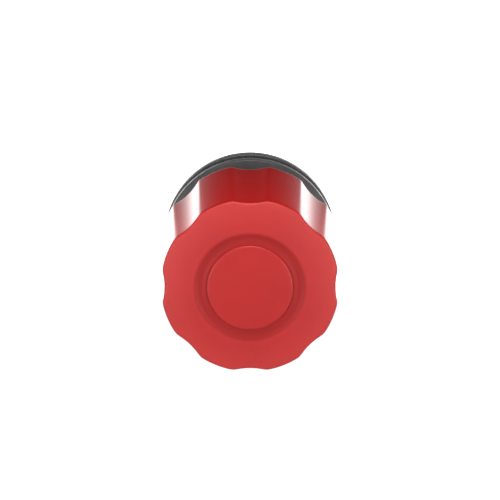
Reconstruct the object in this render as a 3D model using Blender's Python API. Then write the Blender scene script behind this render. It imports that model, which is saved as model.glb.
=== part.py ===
"""Panel-mounted emergency stop: pushed to lock, twisted to release, 22 mm class, 40 mm head.

The push axis is Y. The knob faces -Y, the contacts are at +Y, and Z is up. The origin is on
the axis, in the plane of the panel's front surface. Metres throughout.
"""
import math

import bmesh
import bpy
from mathutils import Matrix, Vector

MM = 0.001
GAP = 0.3 * MM          # between faces that touch
SIDES = 48              # facets around turned pieces
INNER_SIDES = 32        # facets around pieces inside the body
SMALL_SIDES = 24        # facets around small turned pieces

# knob
FLUTES = 8
KNOB_SIDES = 64
RIM_RADIUS = 20.0 * MM
FACE_RADIUS = 18.54 * MM
FLUTE_HALF_ANGLE = math.radians(11.25)
FLUTE_HOLLOW = 0.55 * MM            # depth of a flute below the straight line between its edges
RIM_Y = -18.2 * MM
FACE_EDGE_Y = -43.7 * MM
FACE_ROUNDING = 0.6 * MM
DOME_HEIGHT = 1.5 * MM
GROOVE_OUTER = 11.31 * MM
CAP_RADIUS = 9.0 * MM
GROOVE_Y = -44.5 * MM
POCKET_Y = -43.3 * MM
KNOB_INNER = 17.4 * MM
KNOB_FLOOR_Y = -40.2 * MM
HUB_RADIUS = 6.6 * MM
HUB_END_Y = -24.0 * MM
HEAD_SEAT_Y = -39.0 * MM
SOCKET_Y = -36.0 * MM
SOCKET_APOTHEM = 3.5 * MM
SCREW_HEAD_BORE = 5.4 * MM
SCREW_BORE = 2.4 * MM

# shaft
JOURNAL_RADIUS = 3.4 * MM
LATCH_Y = -0.3 * MM                 # the latch shoulder, at the top of the cone
LATCH_RADIUS = 4.8 * MM
CONE_END_RADIUS = 3.6 * MM
LATCH_BORE = LATCH_RADIUS + 0.5 * MM
TRAVEL = 5.5 * MM
REAR_JOURNAL_RADIUS = 2.6 * MM
SHAFT_END_Y = 16.6 * MM
CLIP_GROOVE_Y = 14.5 * MM
CLIP_GROOVE_RADIUS = 2.0 * MM

# operator body and what clamps it to the panel
NECK_RADIUS = 13.5 * MM
NECK_END_Y = -27.0 * MM
NECK_BORE = 11.2 * MM
SEAL_Y = NECK_END_Y + 1.2 * MM       # front of the lip seal's foot
SEAL_THICKNESS = 1.4 * MM
SEAL_GROOVE_DEPTH = 0.9 * MM
FLANGE_RADIUS = 18.4 * MM
BARREL_RADIUS = 11.0 * MM           # passes a 22.3 mm panel hole
BARREL_BORE = 9.4 * MM
BARREL_END_Y = 18.0 * MM
WEB_FRONT_Y = -9.0 * MM
WEB_REAR_Y = -4.0 * MM
WEB_BORE = 6.9 * MM                 # takes the guide bush
BUSH_FLANGE = 1.0 * MM
SEAL_SEAT_LENGTH = 2.1 * MM
BEZEL_RADIUS = 19.1 * MM
BEZEL_FRONT_Y = -8.7 * MM
BEZEL_REAR_Y = -5.9 * MM
COLLAR_RADIUS = 19.2 * MM
COLLAR_FRONT_Y = -3.5 * MM
GASKET_RADIUS = 17.6 * MM
GASKET_BORE = 12.5 * MM
GASKET_THICKNESS = 1.3 * MM
KEY_HALF_WIDTH = 1.5 * MM
PANEL_THICKNESS = 3.0 * MM
WASHER_THICKNESS = 1.0 * MM
NUT_RADIUS = 14.4 * MM

# latch
CARRIER_RADIUS = 9.1 * MM
PAWL_Y = 5.2 * MM
PAWL_TIP_X = 3.9 * MM
PAWL_TAIL_X = 6.6 * MM
PAWL_HALF_WIDTH = 1.9 * MM
LATCH_COVER_Y = 8.2 * MM

# slider and contact block
SLIDER_RADIUS = 7.4 * MM
SLIDER_Y = 11.9 * MM
SLIDER_END_Y = 18.7 * MM
LUG_HALF_WIDTH = 1.2 * MM
SPIGOT_INNER = 7.8 * MM
SPIGOT_Y = 9.3 * MM
HOOK_HALF_WIDTH = 1.9 * MM
HOOK_Y = 14.8 * MM
HOOK_LENGTH = 1.4 * MM
HOUSING_END_Y = 38.2 * MM
LEDGE_Y = 24.7 * MM
CONTACT_Z = 3.4 * MM                # the two contact sets lie this far above and below the axis
BRIDGE_WIDTH = 2.6 * MM
BRIDGE_HALF_LENGTH = 6.2 * MM
NC_PAD_Y = 25.0 * MM
NC_BRIDGE_Y = 26.7 * MM
NO_BRIDGE_Y = 29.7 * MM
NO_PAD_Y = 35.4 * MM
BRIDGE_THICKNESS = 0.8 * MM
NC_SPRING_END_Y = 31.0 * MM
NO_SPRING_Y = 24.7 * MM
CARRIER_SPRING_Y = 27.3 * MM
PAD = 0.8 * MM
STRIP_X = 6.7 * MM                  # inner face of the terminals' strips and tabs
TAB_OUTER_X = 7.3 * MM
TAB_START_Y = 40.8 * MM
TAB_END_Y = 45.0 * MM
COVER_Y = 38.5 * MM
COVER_THICKNESS = 2.0 * MM
COVER_SCREW_Z = 8.0 * MM
CASE_RADIUS = 10.7 * MM
COVER_RADIUS = 10.3 * MM

RED = (0.62, 0.035, 0.03, 1)
BLACK = (0.03, 0.03, 0.028, 1)
DARK_GREY = (0.06, 0.06, 0.062, 1)
RUBBER = (0.016, 0.016, 0.017, 1)
STEEL = (0.55, 0.56, 0.57, 1)
BRASS = (0.72, 0.53, 0.24, 1)
CREAM = (0.66, 0.62, 0.52, 1)
GREEN = (0.05, 0.22, 0.10, 1)


# ---------------------------------------------------------------- helpers

def material(name, colour, roughness, metallic=0.0):
    """Return a plain Principled material."""
    made = bpy.data.materials.new(name)
    made.use_nodes = True
    shader = made.node_tree.nodes["Principled BSDF"]
    shader.inputs["Base Color"].default_value = colour
    shader.inputs["Roughness"].default_value = roughness
    shader.inputs["Metallic"].default_value = metallic
    return made


def add_object(name, mesh, look, place=(0, 0, 0), parent=None):
    """Put a mesh in the scene with its own copy of a look: (colour, roughness, metallic)."""
    mesh.materials.append(material(name, *look))
    obj = bpy.data.objects.new(name, mesh)
    bpy.context.collection.objects.link(obj)
    obj.location = place
    if parent:
        obj.parent = parent
        obj.location = Vector(place) - parent.location
    return obj


def finish_mesh(name, bm, smooth=True):
    """Turn a bmesh into a mesh whose faces point out and whose sharp edges stay sharp."""
    bmesh.ops.recalc_face_normals(bm, faces=bm.faces)
    mesh = bpy.data.meshes.new(name)
    bm.to_mesh(mesh)
    bm.free()
    if smooth:
        mesh.shade_smooth()
        mesh.set_sharp_from_angle(angle=math.radians(30))
    return mesh


def circle(radius):
    """Return an outline function: the same radius at every angle."""
    return lambda angle: radius


def polygon(sides, apothem):
    """Return the outline function of a regular polygon."""
    step = math.tau / sides

    def outline(angle):
        from_middle = (angle + step / 2) % step - step / 2
        return apothem / math.cos(from_middle)
    return outline


def fluted(radius):
    """Return the knob's outline: lobes on a circle, with shallow hollow flutes between them."""
    step = math.tau / FLUTES
    half_chord = radius * math.sin(FLUTE_HALF_ANGLE)
    chord = radius * math.cos(FLUTE_HALF_ANGLE)

    def outline(angle):
        from_middle = abs((angle + step / 2) % step - step / 2)
        if from_middle >= FLUTE_HALF_ANGLE - 1e-6:
            return radius
        across = chord * math.tan(from_middle) / half_chord
        return (chord - FLUTE_HOLLOW * (1 - across ** 2)) / math.cos(from_middle)
    return outline


def loft(name, rings, sides=SIDES, ring_shaped=True):
    """Skin rings (outline function, y) around Y; a piece that isn't ring-shaped gets two caps."""
    bm = bmesh.new()
    loops = []
    for outline, y in rings:
        loop = []
        for number in range(sides):
            angle = math.tau * number / sides
            radius = outline(angle)
            loop.append(bm.verts.new((radius * math.cos(angle), y, radius * math.sin(angle))))
        loops.append(loop)
    pairs = list(zip(loops, loops[1:]))
    if ring_shaped:
        pairs.append((loops[-1], loops[0]))
    for first, second in pairs:
        for number in range(sides):
            after = (number + 1) % sides
            bm.faces.new((first[number], first[after], second[after], second[number]))
    if not ring_shaped:
        bm.faces.new(loops[0])
        bm.faces.new(loops[-1])
    return finish_mesh(name, bm)


def turned(name, profile, sides=SIDES, ring_shaped=True):
    """Turn a profile of (radius, y) points around Y."""
    return loft(name, [(circle(radius), y) for radius, y in profile], sides, ring_shaped)


def prism(name, outline, axis, start, end):
    """Extrude an outline along X, Y or Z. Its points are the other two axes, in X, Y, Z order."""
    number = "XYZ".index(axis)

    def point(pair, along):
        values = list(pair)
        values.insert(number, along)
        return values
    bm = bmesh.new()
    bottom = bm.faces.new([bm.verts.new(point(pair, start)) for pair in outline])
    top = bmesh.ops.extrude_face_region(bm, geom=[bottom])["geom"]
    move = Vector(point((0, 0), end - start))
    bmesh.ops.translate(bm, verts=[v for v in top if isinstance(v, bmesh.types.BMVert)], vec=move)
    return finish_mesh(name, bm, smooth=False)


def box(name, low, high):
    """Make a box mesh between two corners."""
    outline = [(low[0], low[2]), (high[0], low[2]), (high[0], high[2]), (low[0], high[2])]
    return prism(name, outline, "Y", low[1], high[1])


def rod(name, radius, start, end, sides=SMALL_SIDES):
    """Make a round bar mesh between two points."""
    start, end = Vector(start), Vector(end)
    bm = bmesh.new()
    turn = (end - start).to_track_quat("Z", "Y").to_matrix().to_4x4()
    bmesh.ops.create_cone(
        bm, cap_ends=True, segments=sides, radius1=radius, radius2=radius,
        depth=(end - start).length, matrix=Matrix.Translation((start + end) / 2) @ turn)
    return finish_mesh(name, bm)


def coil(name, radius, wire, start, end, turns, per_turn=14, sides=6, legs=0.0):
    """Make a helical spring around the line from start to end; legs are its straight end lengths."""
    start, end = Vector(start), Vector(end)
    along = (end - start).normalized()
    side = along.orthogonal().normalized()
    up = along.cross(side)
    first = start + along * wire
    length = (end - start).length - 2 * wire
    steps = round(turns * per_turn)
    path = []
    for number in range(steps + 1):
        angle = math.tau * turns * number / steps
        around = side * math.cos(angle) + up * math.sin(angle)
        path.append(first + along * (length * number / steps) + around * radius)
    if legs:
        path.insert(0, path[0] - up * legs)
        last = path[-1] - path[-2]
        path.append(path[-1] + last.normalized() * legs)
    bm = bmesh.new()
    loops = []
    for number, point in enumerate(path):
        before, after = path[max(number - 1, 0)], path[min(number + 1, len(path) - 1)]
        tangent = (after - before).normalized()
        out = along.cross(tangent).normalized()
        rise = tangent.cross(out)
        loop = []
        for corner in range(sides):
            angle = math.tau * corner / sides
            loop.append(bm.verts.new(point + (out * math.cos(angle) + rise * math.sin(angle)) * wire))
        loops.append(loop)
    for one, two in zip(loops, loops[1:]):
        for corner in range(sides):
            after = (corner + 1) % sides
            bm.faces.new((one[corner], one[after], two[after], two[corner]))
    bm.faces.new(loops[0])
    bm.faces.new(loops[-1])
    return finish_mesh(name, bm)


def boolean(obj, mesh, operation="DIFFERENCE"):
    """Cut a mesh out of an object, or join it on, with a hidden helper object."""
    helper = bpy.data.objects.new(f"{obj.name}_helper", mesh)
    bpy.context.collection.objects.link(helper)
    helper.hide_render = True
    helper.display_type = "WIRE"
    modifier = obj.modifiers.new(operation.lower(), "BOOLEAN")
    modifier.operation = operation
    modifier.object = helper
    modifier.solver = "EXACT"


def empty(name, place):
    """Add an empty that marks a joint's axis."""
    marker = bpy.data.objects.new(name, None)
    bpy.context.collection.objects.link(marker)
    marker.location = place
    return marker


def dome_y(radius):
    """Return where the domed face lies at a radius."""
    edge = FACE_RADIUS - FACE_ROUNDING
    return FACE_EDGE_Y - FACE_ROUNDING - DOME_HEIGHT * (1 - (radius / edge) ** 2)


# ---------------------------------------------------------------- head

def add_knob(twist):
    """Fluted mushroom head: a cup with a domed face, a hub with a hexagon socket and a screw hole."""
    bevel = 0.35 * MM
    rounding = FACE_ROUNDING * (1 - math.sqrt(0.5))
    draft = 1.0 * MM
    face = [FACE_RADIUS - FACE_ROUNDING, 15.0 * MM, 13.0 * MM, GROOVE_OUTER]
    rings = [
        (fluted(RIM_RADIUS - bevel), RIM_Y),
        (fluted(RIM_RADIUS), RIM_Y - bevel),
        (fluted((RIM_RADIUS + FACE_RADIUS) / 2), (RIM_Y + FACE_EDGE_Y) / 2),
        (fluted(FACE_RADIUS), FACE_EDGE_Y),
        (fluted(FACE_RADIUS - rounding), FACE_EDGE_Y - FACE_ROUNDING + rounding),
        (fluted(face[0]), dome_y(face[0])),
    ]
    rings += [(circle(radius), dome_y(radius)) for radius in face[1:]]
    groove_floor = GROOVE_OUTER - draft
    rings += [
        (circle(groove_floor), GROOVE_Y),
        (circle(CAP_RADIUS + GAP), GROOVE_Y),
        (circle(CAP_RADIUS + GAP), POCKET_Y),
        (circle(SCREW_HEAD_BORE), POCKET_Y),
        (circle(SCREW_HEAD_BORE), HEAD_SEAT_Y),
        (circle(SCREW_BORE), HEAD_SEAT_Y),
        (circle(SCREW_BORE), SOCKET_Y),
        (polygon(6, SOCKET_APOTHEM), SOCKET_Y),
        (polygon(6, SOCKET_APOTHEM), HUB_END_Y),
        (circle(HUB_RADIUS), HUB_END_Y),
        (circle(HUB_RADIUS), KNOB_FLOOR_Y),
        (circle(KNOB_INNER - draft), KNOB_FLOOR_Y),
        (circle(KNOB_INNER), RIM_Y),
    ]
    mesh = loft("knob", rings, KNOB_SIDES)
    add_object("knob", mesh, (RED, 0.35), parent=twist)


def add_knob_cap(twist):
    """Domed disc over the knob's screw, with a spigot ring behind it."""
    back = POCKET_Y - GAP
    spigot_end = back + 1.3 * MM
    spigot_bore, spigot_radius = SCREW_HEAD_BORE - 1.2 * MM, SCREW_HEAD_BORE - 0.4 * MM
    bevel = 0.3 * MM
    top = [(CAP_RADIUS, dome_y(CAP_RADIUS) + bevel), (CAP_RADIUS - bevel, dome_y(CAP_RADIUS))]
    top += [(radius, dome_y(radius)) for radius in (6.0 * MM, 3.0 * MM, 0.6 * MM)]
    under = [(spigot_bore / 2, back), (spigot_bore, back), (spigot_bore, spigot_end),
             (spigot_radius, spigot_end), (spigot_radius, back), (CAP_RADIUS, back)]
    mesh = turned("knob_cap", list(reversed(top)) + list(reversed(under)), SIDES, ring_shaped=False)
    add_object("knob_cap", mesh, (RED, 0.4), parent=twist)


def add_knob_screw(twist):
    """Pan-head screw with a hexagon recess, from the knob into the shaft."""
    seat = HEAD_SEAT_Y - GAP
    top = seat - 2.6 * MM
    recess, recess_depth, rounding = polygon(6, 1.25 * MM), 1.5 * MM, 0.8 * MM
    head, shank, tip, end = 3.8 * MM, 2.0 * MM, 0.5 * MM, -30.0 * MM
    rings = [
        (recess, top + recess_depth), (recess, top), (circle(head - rounding), top),
        (circle(head), top + rounding), (circle(head), seat), (circle(shank), seat),
        (circle(shank), end - tip), (circle(shank - tip), end),
    ]
    mesh = loft("knob_screw", rings, SMALL_SIDES, ring_shaped=False)
    add_object("knob_screw", mesh, (STEEL, 0.35, 1.0), parent=twist)


def add_shaft(twist):
    """Shaft: screw hole, hexagon, journal that ends at the latch shoulder, cone, rear journal."""
    front = SOCKET_Y + GAP
    hexagon = SOCKET_APOTHEM - GAP
    hexagon_end = HUB_END_Y + 1.0 * MM
    screw_hole, screw_hole_end = 2.3 * MM, -29.5 * MM
    groove_end = CLIP_GROOVE_Y + 1.0 * MM
    bevel = 0.4 * MM
    rings = [
        (circle(screw_hole), screw_hole_end), (circle(screw_hole), front),
        (polygon(6, hexagon), front), (polygon(6, hexagon), hexagon_end),
        (circle(JOURNAL_RADIUS), hexagon_end), (circle(JOURNAL_RADIUS), LATCH_Y),
        (circle(LATCH_RADIUS), LATCH_Y), (circle(CONE_END_RADIUS), LATCH_Y + TRAVEL),
        (circle(CONE_END_RADIUS), SLIDER_Y - GAP), (circle(REAR_JOURNAL_RADIUS), SLIDER_Y - GAP),
        (circle(REAR_JOURNAL_RADIUS), CLIP_GROOVE_Y), (circle(CLIP_GROOVE_RADIUS), CLIP_GROOVE_Y),
        (circle(CLIP_GROOVE_RADIUS), groove_end), (circle(REAR_JOURNAL_RADIUS), groove_end),
        (circle(REAR_JOURNAL_RADIUS), SHAFT_END_Y - bevel), (circle(REAR_JOURNAL_RADIUS - bevel), SHAFT_END_Y),
    ]
    mesh = loft("shaft", rings, SMALL_SIDES, ring_shaped=False)
    add_object("shaft", mesh, (STEEL, 0.3, 1.0), parent=twist)


def add_shaft_clip(twist):
    """E-clip in the shaft's rear groove: a flat ring that is open at the bottom."""
    outer, inner, half_opening = 4.3 * MM, CLIP_GROOVE_RADIUS + GAP, math.radians(35)
    front, thickness = CLIP_GROOVE_Y + 0.1 * MM, 0.8 * MM
    start, stop, steps = -math.pi / 2 + half_opening, math.pi * 1.5 - half_opening, 20
    angles = [start + (stop - start) * number / steps for number in range(steps + 1)]
    outline = [(outer * math.cos(a), outer * math.sin(a)) for a in angles]
    outline += [(inner * math.cos(a), inner * math.sin(a)) for a in reversed(angles)]
    mesh = prism("shaft_clip", outline, "Y", front, front + thickness)
    add_object("shaft_clip", mesh, (STEEL, 0.35, 1.0), parent=twist)


def add_twist_spring(twist):
    """Torsion spring that turns the knob back, between the latch cover and the slider."""
    radius, wire, leg, end = 4.7 * MM, 0.3 * MM, 1.4 * MM, SLIDER_Y - GAP
    mesh = coil("twist_spring", radius, wire, (0, end - 2.2 * MM, 0), (0, end, 0),
                2.5, per_turn=12, sides=4, legs=leg)
    add_object("twist_spring", mesh, (STEEL, 0.3, 1.0), parent=twist)


# ---------------------------------------------------------------- body and seals

def add_operator_body():
    """Body: neck under the knob, flange behind the bezel, web with the bearing seat, barrel."""
    flange_front, flange_rear = BEZEL_REAR_Y + GAP, COLLAR_FRONT_Y - GAP
    groove_radius = NECK_RADIUS - SEAL_GROOVE_DEPTH
    groove_start, groove_end = SEAL_Y - GAP, SEAL_Y + SEAL_THICKNESS + GAP
    neck_bevel, barrel_bevel = 0.4 * MM, 0.6 * MM
    profile = [
        (NECK_BORE, NECK_END_Y), (NECK_RADIUS - neck_bevel, NECK_END_Y),
        (NECK_RADIUS, NECK_END_Y + neck_bevel), (NECK_RADIUS, groove_start),
        (groove_radius, groove_start), (groove_radius, groove_end),
        (NECK_RADIUS, groove_end), (NECK_RADIUS, flange_front),
        (FLANGE_RADIUS, flange_front), (FLANGE_RADIUS, flange_rear),
        (BARREL_RADIUS, flange_rear), (BARREL_RADIUS, BARREL_END_Y - barrel_bevel),
        (BARREL_RADIUS - barrel_bevel, BARREL_END_Y), (BARREL_BORE, BARREL_END_Y),
        (BARREL_BORE, WEB_REAR_Y), (WEB_BORE, WEB_REAR_Y), (WEB_BORE, WEB_FRONT_Y),
        (NECK_BORE, WEB_FRONT_Y),
    ]
    body = add_object("operator_body", turned("operator_body", profile), (BLACK, 0.45))
    window_start, window_end = HOOK_Y - 0.4 * MM, HOOK_Y + HOOK_LENGTH + 0.4 * MM
    half = HOOK_HALF_WIDTH + GAP
    for side in (-1, 1):
        x = sorted((side * (BARREL_BORE - 0.8 * MM), side * (BARREL_RADIUS + 1.0 * MM)))
        boolean(body, box("hook_window", (x[0], window_start, -half), (x[1], window_end, half)))


def add_guide_bush():
    """Flanged bearing of the shaft, with a seat for the O-ring at its rear end."""
    flange = WEB_FRONT_Y - GAP
    end = WEB_REAR_Y - GAP
    bore, body, rim, seat = JOURNAL_RADIUS + GAP, WEB_BORE - GAP, 8.2 * MM, 5.7 * MM
    profile = [
        (bore, flange - BUSH_FLANGE), (rim, flange - BUSH_FLANGE), (rim, flange), (body, flange),
        (body, end), (seat, end), (seat, end - SEAL_SEAT_LENGTH), (bore, end - SEAL_SEAT_LENGTH),
    ]
    add_object("guide_bush", turned("guide_bush", profile, SMALL_SIDES), (CREAM, 0.4))


def add_shaft_seal():
    """O-ring on the shaft, in the guide bush."""
    middle, thick, y = 4.6 * MM, 0.78 * MM, WEB_REAR_Y - GAP - SEAL_SEAT_LENGTH / 2
    corners = [math.tau * number / 8 for number in range(8)]
    profile = [(middle + thick * math.cos(a), y + thick * math.sin(a)) for a in corners]
    add_object("shaft_seal", turned("shaft_seal", profile, SMALL_SIDES), (RUBBER, 0.7))


def add_skirt_seal():
    """Lip ring on the neck, that wipes the inside of the knob."""
    end = SEAL_Y + SEAL_THICKNESS
    inner = NECK_RADIUS - SEAL_GROOVE_DEPTH + GAP
    lip, lip_reach = 16.5 * MM, 1.1 * MM
    profile = [(inner, SEAL_Y), (NECK_RADIUS + 1.0 * MM, SEAL_Y), (lip - 0.1 * MM, SEAL_Y - lip_reach),
               (lip, SEAL_Y - lip_reach + 0.5 * MM), (NECK_RADIUS + 1.5 * MM, end), (inner, end)]
    add_object("skirt_seal", turned("skirt_seal", profile), (RUBBER, 0.7))


def add_return_spring():
    """Compression spring between the knob's hub and the guide bush."""
    radius, wire = 5.2 * MM, 0.5 * MM
    mesh = coil("return_spring", radius, wire, (0, HUB_END_Y + GAP, 0),
                (0, WEB_FRONT_Y - BUSH_FLANGE - 2 * GAP, 0), 5.5, per_turn=12, sides=5)
    add_object("return_spring", mesh, (STEEL, 0.3, 1.0))


def add_bezel_ring():
    """Front ring: crisp rounded edge and a front face that rises slightly towards the neck."""
    inner = NECK_RADIUS + GAP
    edge, inner_edge, rise = 0.4 * MM, 0.2 * MM, 1.1 * MM
    cut = edge * (1 - math.sqrt(0.5))
    profile = [
        (inner, BEZEL_REAR_Y), (inner, BEZEL_FRONT_Y - rise + inner_edge),
        (inner + inner_edge, BEZEL_FRONT_Y - rise), (BEZEL_RADIUS - edge, BEZEL_FRONT_Y),
        (BEZEL_RADIUS - cut, BEZEL_FRONT_Y + cut), (BEZEL_RADIUS, BEZEL_FRONT_Y + edge),
        (BEZEL_RADIUS, BEZEL_REAR_Y),
    ]
    add_object("bezel_ring", turned("bezel_ring", profile), (DARK_GREY, 0.35))


def add_mounting_collar():
    """Rear disc: carries the gasket in its back and a key that stops the stop from turning."""
    edge = 0.5 * MM
    back, bore = -GAP, BARREL_RADIUS + GAP
    seat = -GASKET_THICKNESS - GAP
    profile = [
        (bore, COLLAR_FRONT_Y), (COLLAR_RADIUS - edge, COLLAR_FRONT_Y),
        (COLLAR_RADIUS, COLLAR_FRONT_Y + edge), (COLLAR_RADIUS, back), (GASKET_RADIUS + GAP, back),
        (GASKET_RADIUS + GAP, seat), (GASKET_BORE - GAP, seat), (GASKET_BORE - GAP, back), (bore, back),
    ]
    collar = add_object("mounting_collar", turned("mounting_collar", profile), (BLACK, 0.4))
    key_end, key_low, key_high = 2.0 * MM, bore + 0.1 * MM, bore + 0.8 * MM
    key = box("locating_key", (-KEY_HALF_WIDTH, -1.0 * MM, key_low), (KEY_HALF_WIDTH, key_end, key_high))
    boolean(collar, key, "UNION")


def add_panel_gasket():
    """Flat seal between the collar and the panel; its rear face is the panel's plane."""
    front = -GASKET_THICKNESS
    profile = [(GASKET_BORE, front), (GASKET_RADIUS, front), (GASKET_RADIUS, 0), (GASKET_BORE, 0)]
    add_object("panel_gasket", turned("panel_gasket", profile), (RUBBER, 0.75))


def toothed(radius, depth, teeth):
    """Return the outline of a toothed washer."""
    def outline(angle):
        place = (angle * teeth / math.tau) % 1
        return radius - (depth if place >= 0.5 else 0)
    return outline


def add_lock_washer():
    """Toothed washer between the panel and the ring nut."""
    start = PANEL_THICKNESS + GAP
    end = start + WASHER_THICKNESS
    bore, outer = circle(BARREL_RADIUS + GAP), toothed(NUT_RADIUS - 0.4 * MM, 1.0 * MM, 12)
    rings = [(bore, start), (outer, start), (outer, end), (bore, end)]
    add_object("lock_washer", loft("lock_washer", rings, SIDES), (STEEL, 0.4, 1.0))


def add_ring_nut():
    """Round nut with a six-sided grip, on the barrel's thread."""
    start = PANEL_THICKNESS + WASHER_THICKNESS + 2 * GAP
    flange_end, end = start + 1.2 * MM, start + 5.0 * MM
    bore, flange, grip = circle(BARREL_RADIUS + GAP), circle(NUT_RADIUS), polygon(6, NUT_RADIUS)
    rings = [(bore, start), (flange, start), (flange, flange_end), (grip, flange_end), (grip, end), (bore, end)]
    add_object("ring_nut", loft("ring_nut", rings, SIDES), (DARK_GREY, 0.5))


# ---------------------------------------------------------------- latch

def add_latch_carrier():
    """Guide block with a slot across it, in which the two pawls slide along X."""
    start, end = WEB_REAR_Y + GAP, LATCH_COVER_Y - GAP
    profile = [(LATCH_BORE, start), (CARRIER_RADIUS, start), (CARRIER_RADIUS, end), (LATCH_BORE, end)]
    carrier = add_object("latch_carrier", turned("latch_carrier", profile, INNER_SIDES), (CREAM, 0.5))
    half, past = PAWL_HALF_WIDTH + GAP, 12.0 * MM
    slot_start = PAWL_Y - PAWL_HALF_WIDTH - GAP
    boolean(carrier, box("pawl_slot", (-past, slot_start, -half), (past, end + 1.0 * MM, half)))


def add_latch_cover():
    """Plate that closes the pawls' slot."""
    start, end = LATCH_COVER_Y, LATCH_COVER_Y + 0.8 * MM
    profile = [(LATCH_BORE, start), (CARRIER_RADIUS, start), (CARRIER_RADIUS, end), (LATCH_BORE, end)]
    add_object("latch_cover", turned("latch_cover", profile, INNER_SIDES), (STEEL, 0.4, 1.0))


def add_pawl(side, name):
    """Sliding pawl with a tapered tip and a blind hole for its spring."""
    half_tip, half_body = 0.4 * MM, PAWL_HALF_WIDTH
    shoulder = PAWL_TIP_X + 1.1 * MM
    hole_radius, hole_start = 1.15 * MM, PAWL_TAIL_X - 1.2 * MM
    outline = [
        (PAWL_TIP_X, PAWL_Y - half_tip), (PAWL_TIP_X, PAWL_Y + half_tip),
        (shoulder, PAWL_Y + half_body), (PAWL_TAIL_X, PAWL_Y + half_body),
        (PAWL_TAIL_X, PAWL_Y - half_body), (shoulder, PAWL_Y - half_body),
    ]
    marker = empty(f"{name}_axis", (side * PAWL_TIP_X, PAWL_Y, 0))
    outline = [(side * x, y) for x, y in outline]
    pawl = add_object(name, prism(name, outline, "Z", -PAWL_HALF_WIDTH, PAWL_HALF_WIDTH), (STEEL, 0.35, 1.0))
    pawl.parent = marker
    pawl.matrix_parent_inverse = Matrix.Translation(-marker.location)
    hole_ends = [(side * x, PAWL_Y, 0) for x in (hole_start, PAWL_TAIL_X + 1.0 * MM)]
    boolean(pawl, rod("spring_hole", hole_radius, *hole_ends, sides=12))


def add_pawl_spring(side, name):
    """Small compression spring behind a pawl."""
    radius, wire = 0.75 * MM, 0.13 * MM
    start, end = PAWL_TAIL_X - 0.9 * MM, BARREL_BORE - GAP
    mesh = coil(name, radius, wire, (side * start, PAWL_Y, 0), (side * end, PAWL_Y, 0), 4, per_turn=8, sides=4)
    add_object(name, mesh, (STEEL, 0.3, 1.0))


# ---------------------------------------------------------------- slider and contacts

def add_slider():
    """Slider: takes the shaft's travel to the contacts; two lugs keep it from turning."""
    bore, skirt_bore = REAR_JOURNAL_RADIUS + GAP, 4.7 * MM
    disc_end, draft = 14.3 * MM, 0.1 * MM
    profile = [(bore, SLIDER_Y), (SLIDER_RADIUS, SLIDER_Y), (SLIDER_RADIUS, disc_end),
               (SLIDER_RADIUS - draft, SLIDER_END_Y), (skirt_bore, SLIDER_END_Y),
               (skirt_bore, disc_end), (bore, disc_end)]
    slider = add_object("slider", turned("slider", profile, INNER_SIDES), (CREAM, 0.45))
    for side in (-1, 1):
        z = sorted((side * (SLIDER_RADIUS - 0.6 * MM), side * (CARRIER_RADIUS - GAP)))
        lug = box("lug", (-LUG_HALF_WIDTH, SLIDER_Y + 0.1 * MM, z[0]), (LUG_HALF_WIDTH, 15.0 * MM, z[1]))
        boolean(slider, lug, "UNION")


def add_contact_housing():
    """Contact block's case: a spigot with two hooks that snaps into the barrel, and a round case."""
    case_start = BARREL_END_Y + GAP
    profile = [
        (SPIGOT_INNER, SPIGOT_Y), (CARRIER_RADIUS, SPIGOT_Y), (CARRIER_RADIUS, case_start),
        (CASE_RADIUS, case_start), (CASE_RADIUS, HOUSING_END_Y),
        (BARREL_BORE, HOUSING_END_Y), (BARREL_BORE, LEDGE_Y), (SPIGOT_INNER, LEDGE_Y),
    ]
    housing = add_object("contact_housing", turned("contact_housing", profile), (BLACK, 0.5))
    slot_half, slot_end = LUG_HALF_WIDTH + GAP, BARREL_END_Y + 3.3 * MM
    boss_radius, pilot_radius, pilot_start = 1.9 * MM, 1.1 * MM, 30.0 * MM
    for side in (-1, 1):
        z = sorted((side * (SPIGOT_INNER - 0.8 * MM), side * (CARRIER_RADIUS - 0.05 * MM)))
        boolean(housing, box("lug_slot", (-slot_half, SPIGOT_Y - GAP, z[0]), (slot_half, slot_end, z[1])))
        x = sorted((side * (CARRIER_RADIUS - 0.6 * MM), side * (BARREL_RADIUS - 0.4 * MM)))
        hook = box("hook", (x[0], HOOK_Y, -HOOK_HALF_WIDTH), (x[1], HOOK_Y + HOOK_LENGTH, HOOK_HALF_WIDTH))
        boolean(housing, hook, "UNION")
        z = side * COVER_SCREW_Z
        boss = rod("boss", boss_radius, (0, LEDGE_Y - 0.5 * MM, z), (0, HOUSING_END_Y, z), 16)
        boolean(housing, boss, "UNION")
        boolean(housing, rod("pilot", pilot_radius, (0, pilot_start, z), (0, COVER_Y, z), 12))


def add_contact_carrier(moving):
    """Plunger of the contact block: a bar with one window for each moving contact."""
    half_x, half_z = 2.5 * MM, 5.8 * MM
    low, high = SLIDER_END_Y + GAP, 32.4 * MM
    window_x, pocket_radius = half_x + 1.5 * MM, 1.6 * MM
    carrier = add_object(
        "contact_carrier", box("contact_carrier", (-half_x, low, -half_z), (half_x, high, half_z)),
        (GREEN, 0.45), parent=moving)
    half = BRIDGE_WIDTH / 2 + 0.2 * MM
    for z, start, end in ((CONTACT_Z, NC_BRIDGE_Y - GAP, NC_SPRING_END_Y + 0.2 * MM),
                          (-CONTACT_Z, NO_SPRING_Y - 0.2 * MM, NO_BRIDGE_Y + BRIDGE_THICKNESS + GAP)):
        boolean(carrier, box("window", (-window_x, start, z - half), (window_x, end, z + half)))
    pocket = rod("spring_pocket", pocket_radius, (0, CARRIER_SPRING_Y - GAP, 0), (0, high + 1.0 * MM, 0), 16)
    boolean(carrier, pocket)


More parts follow.
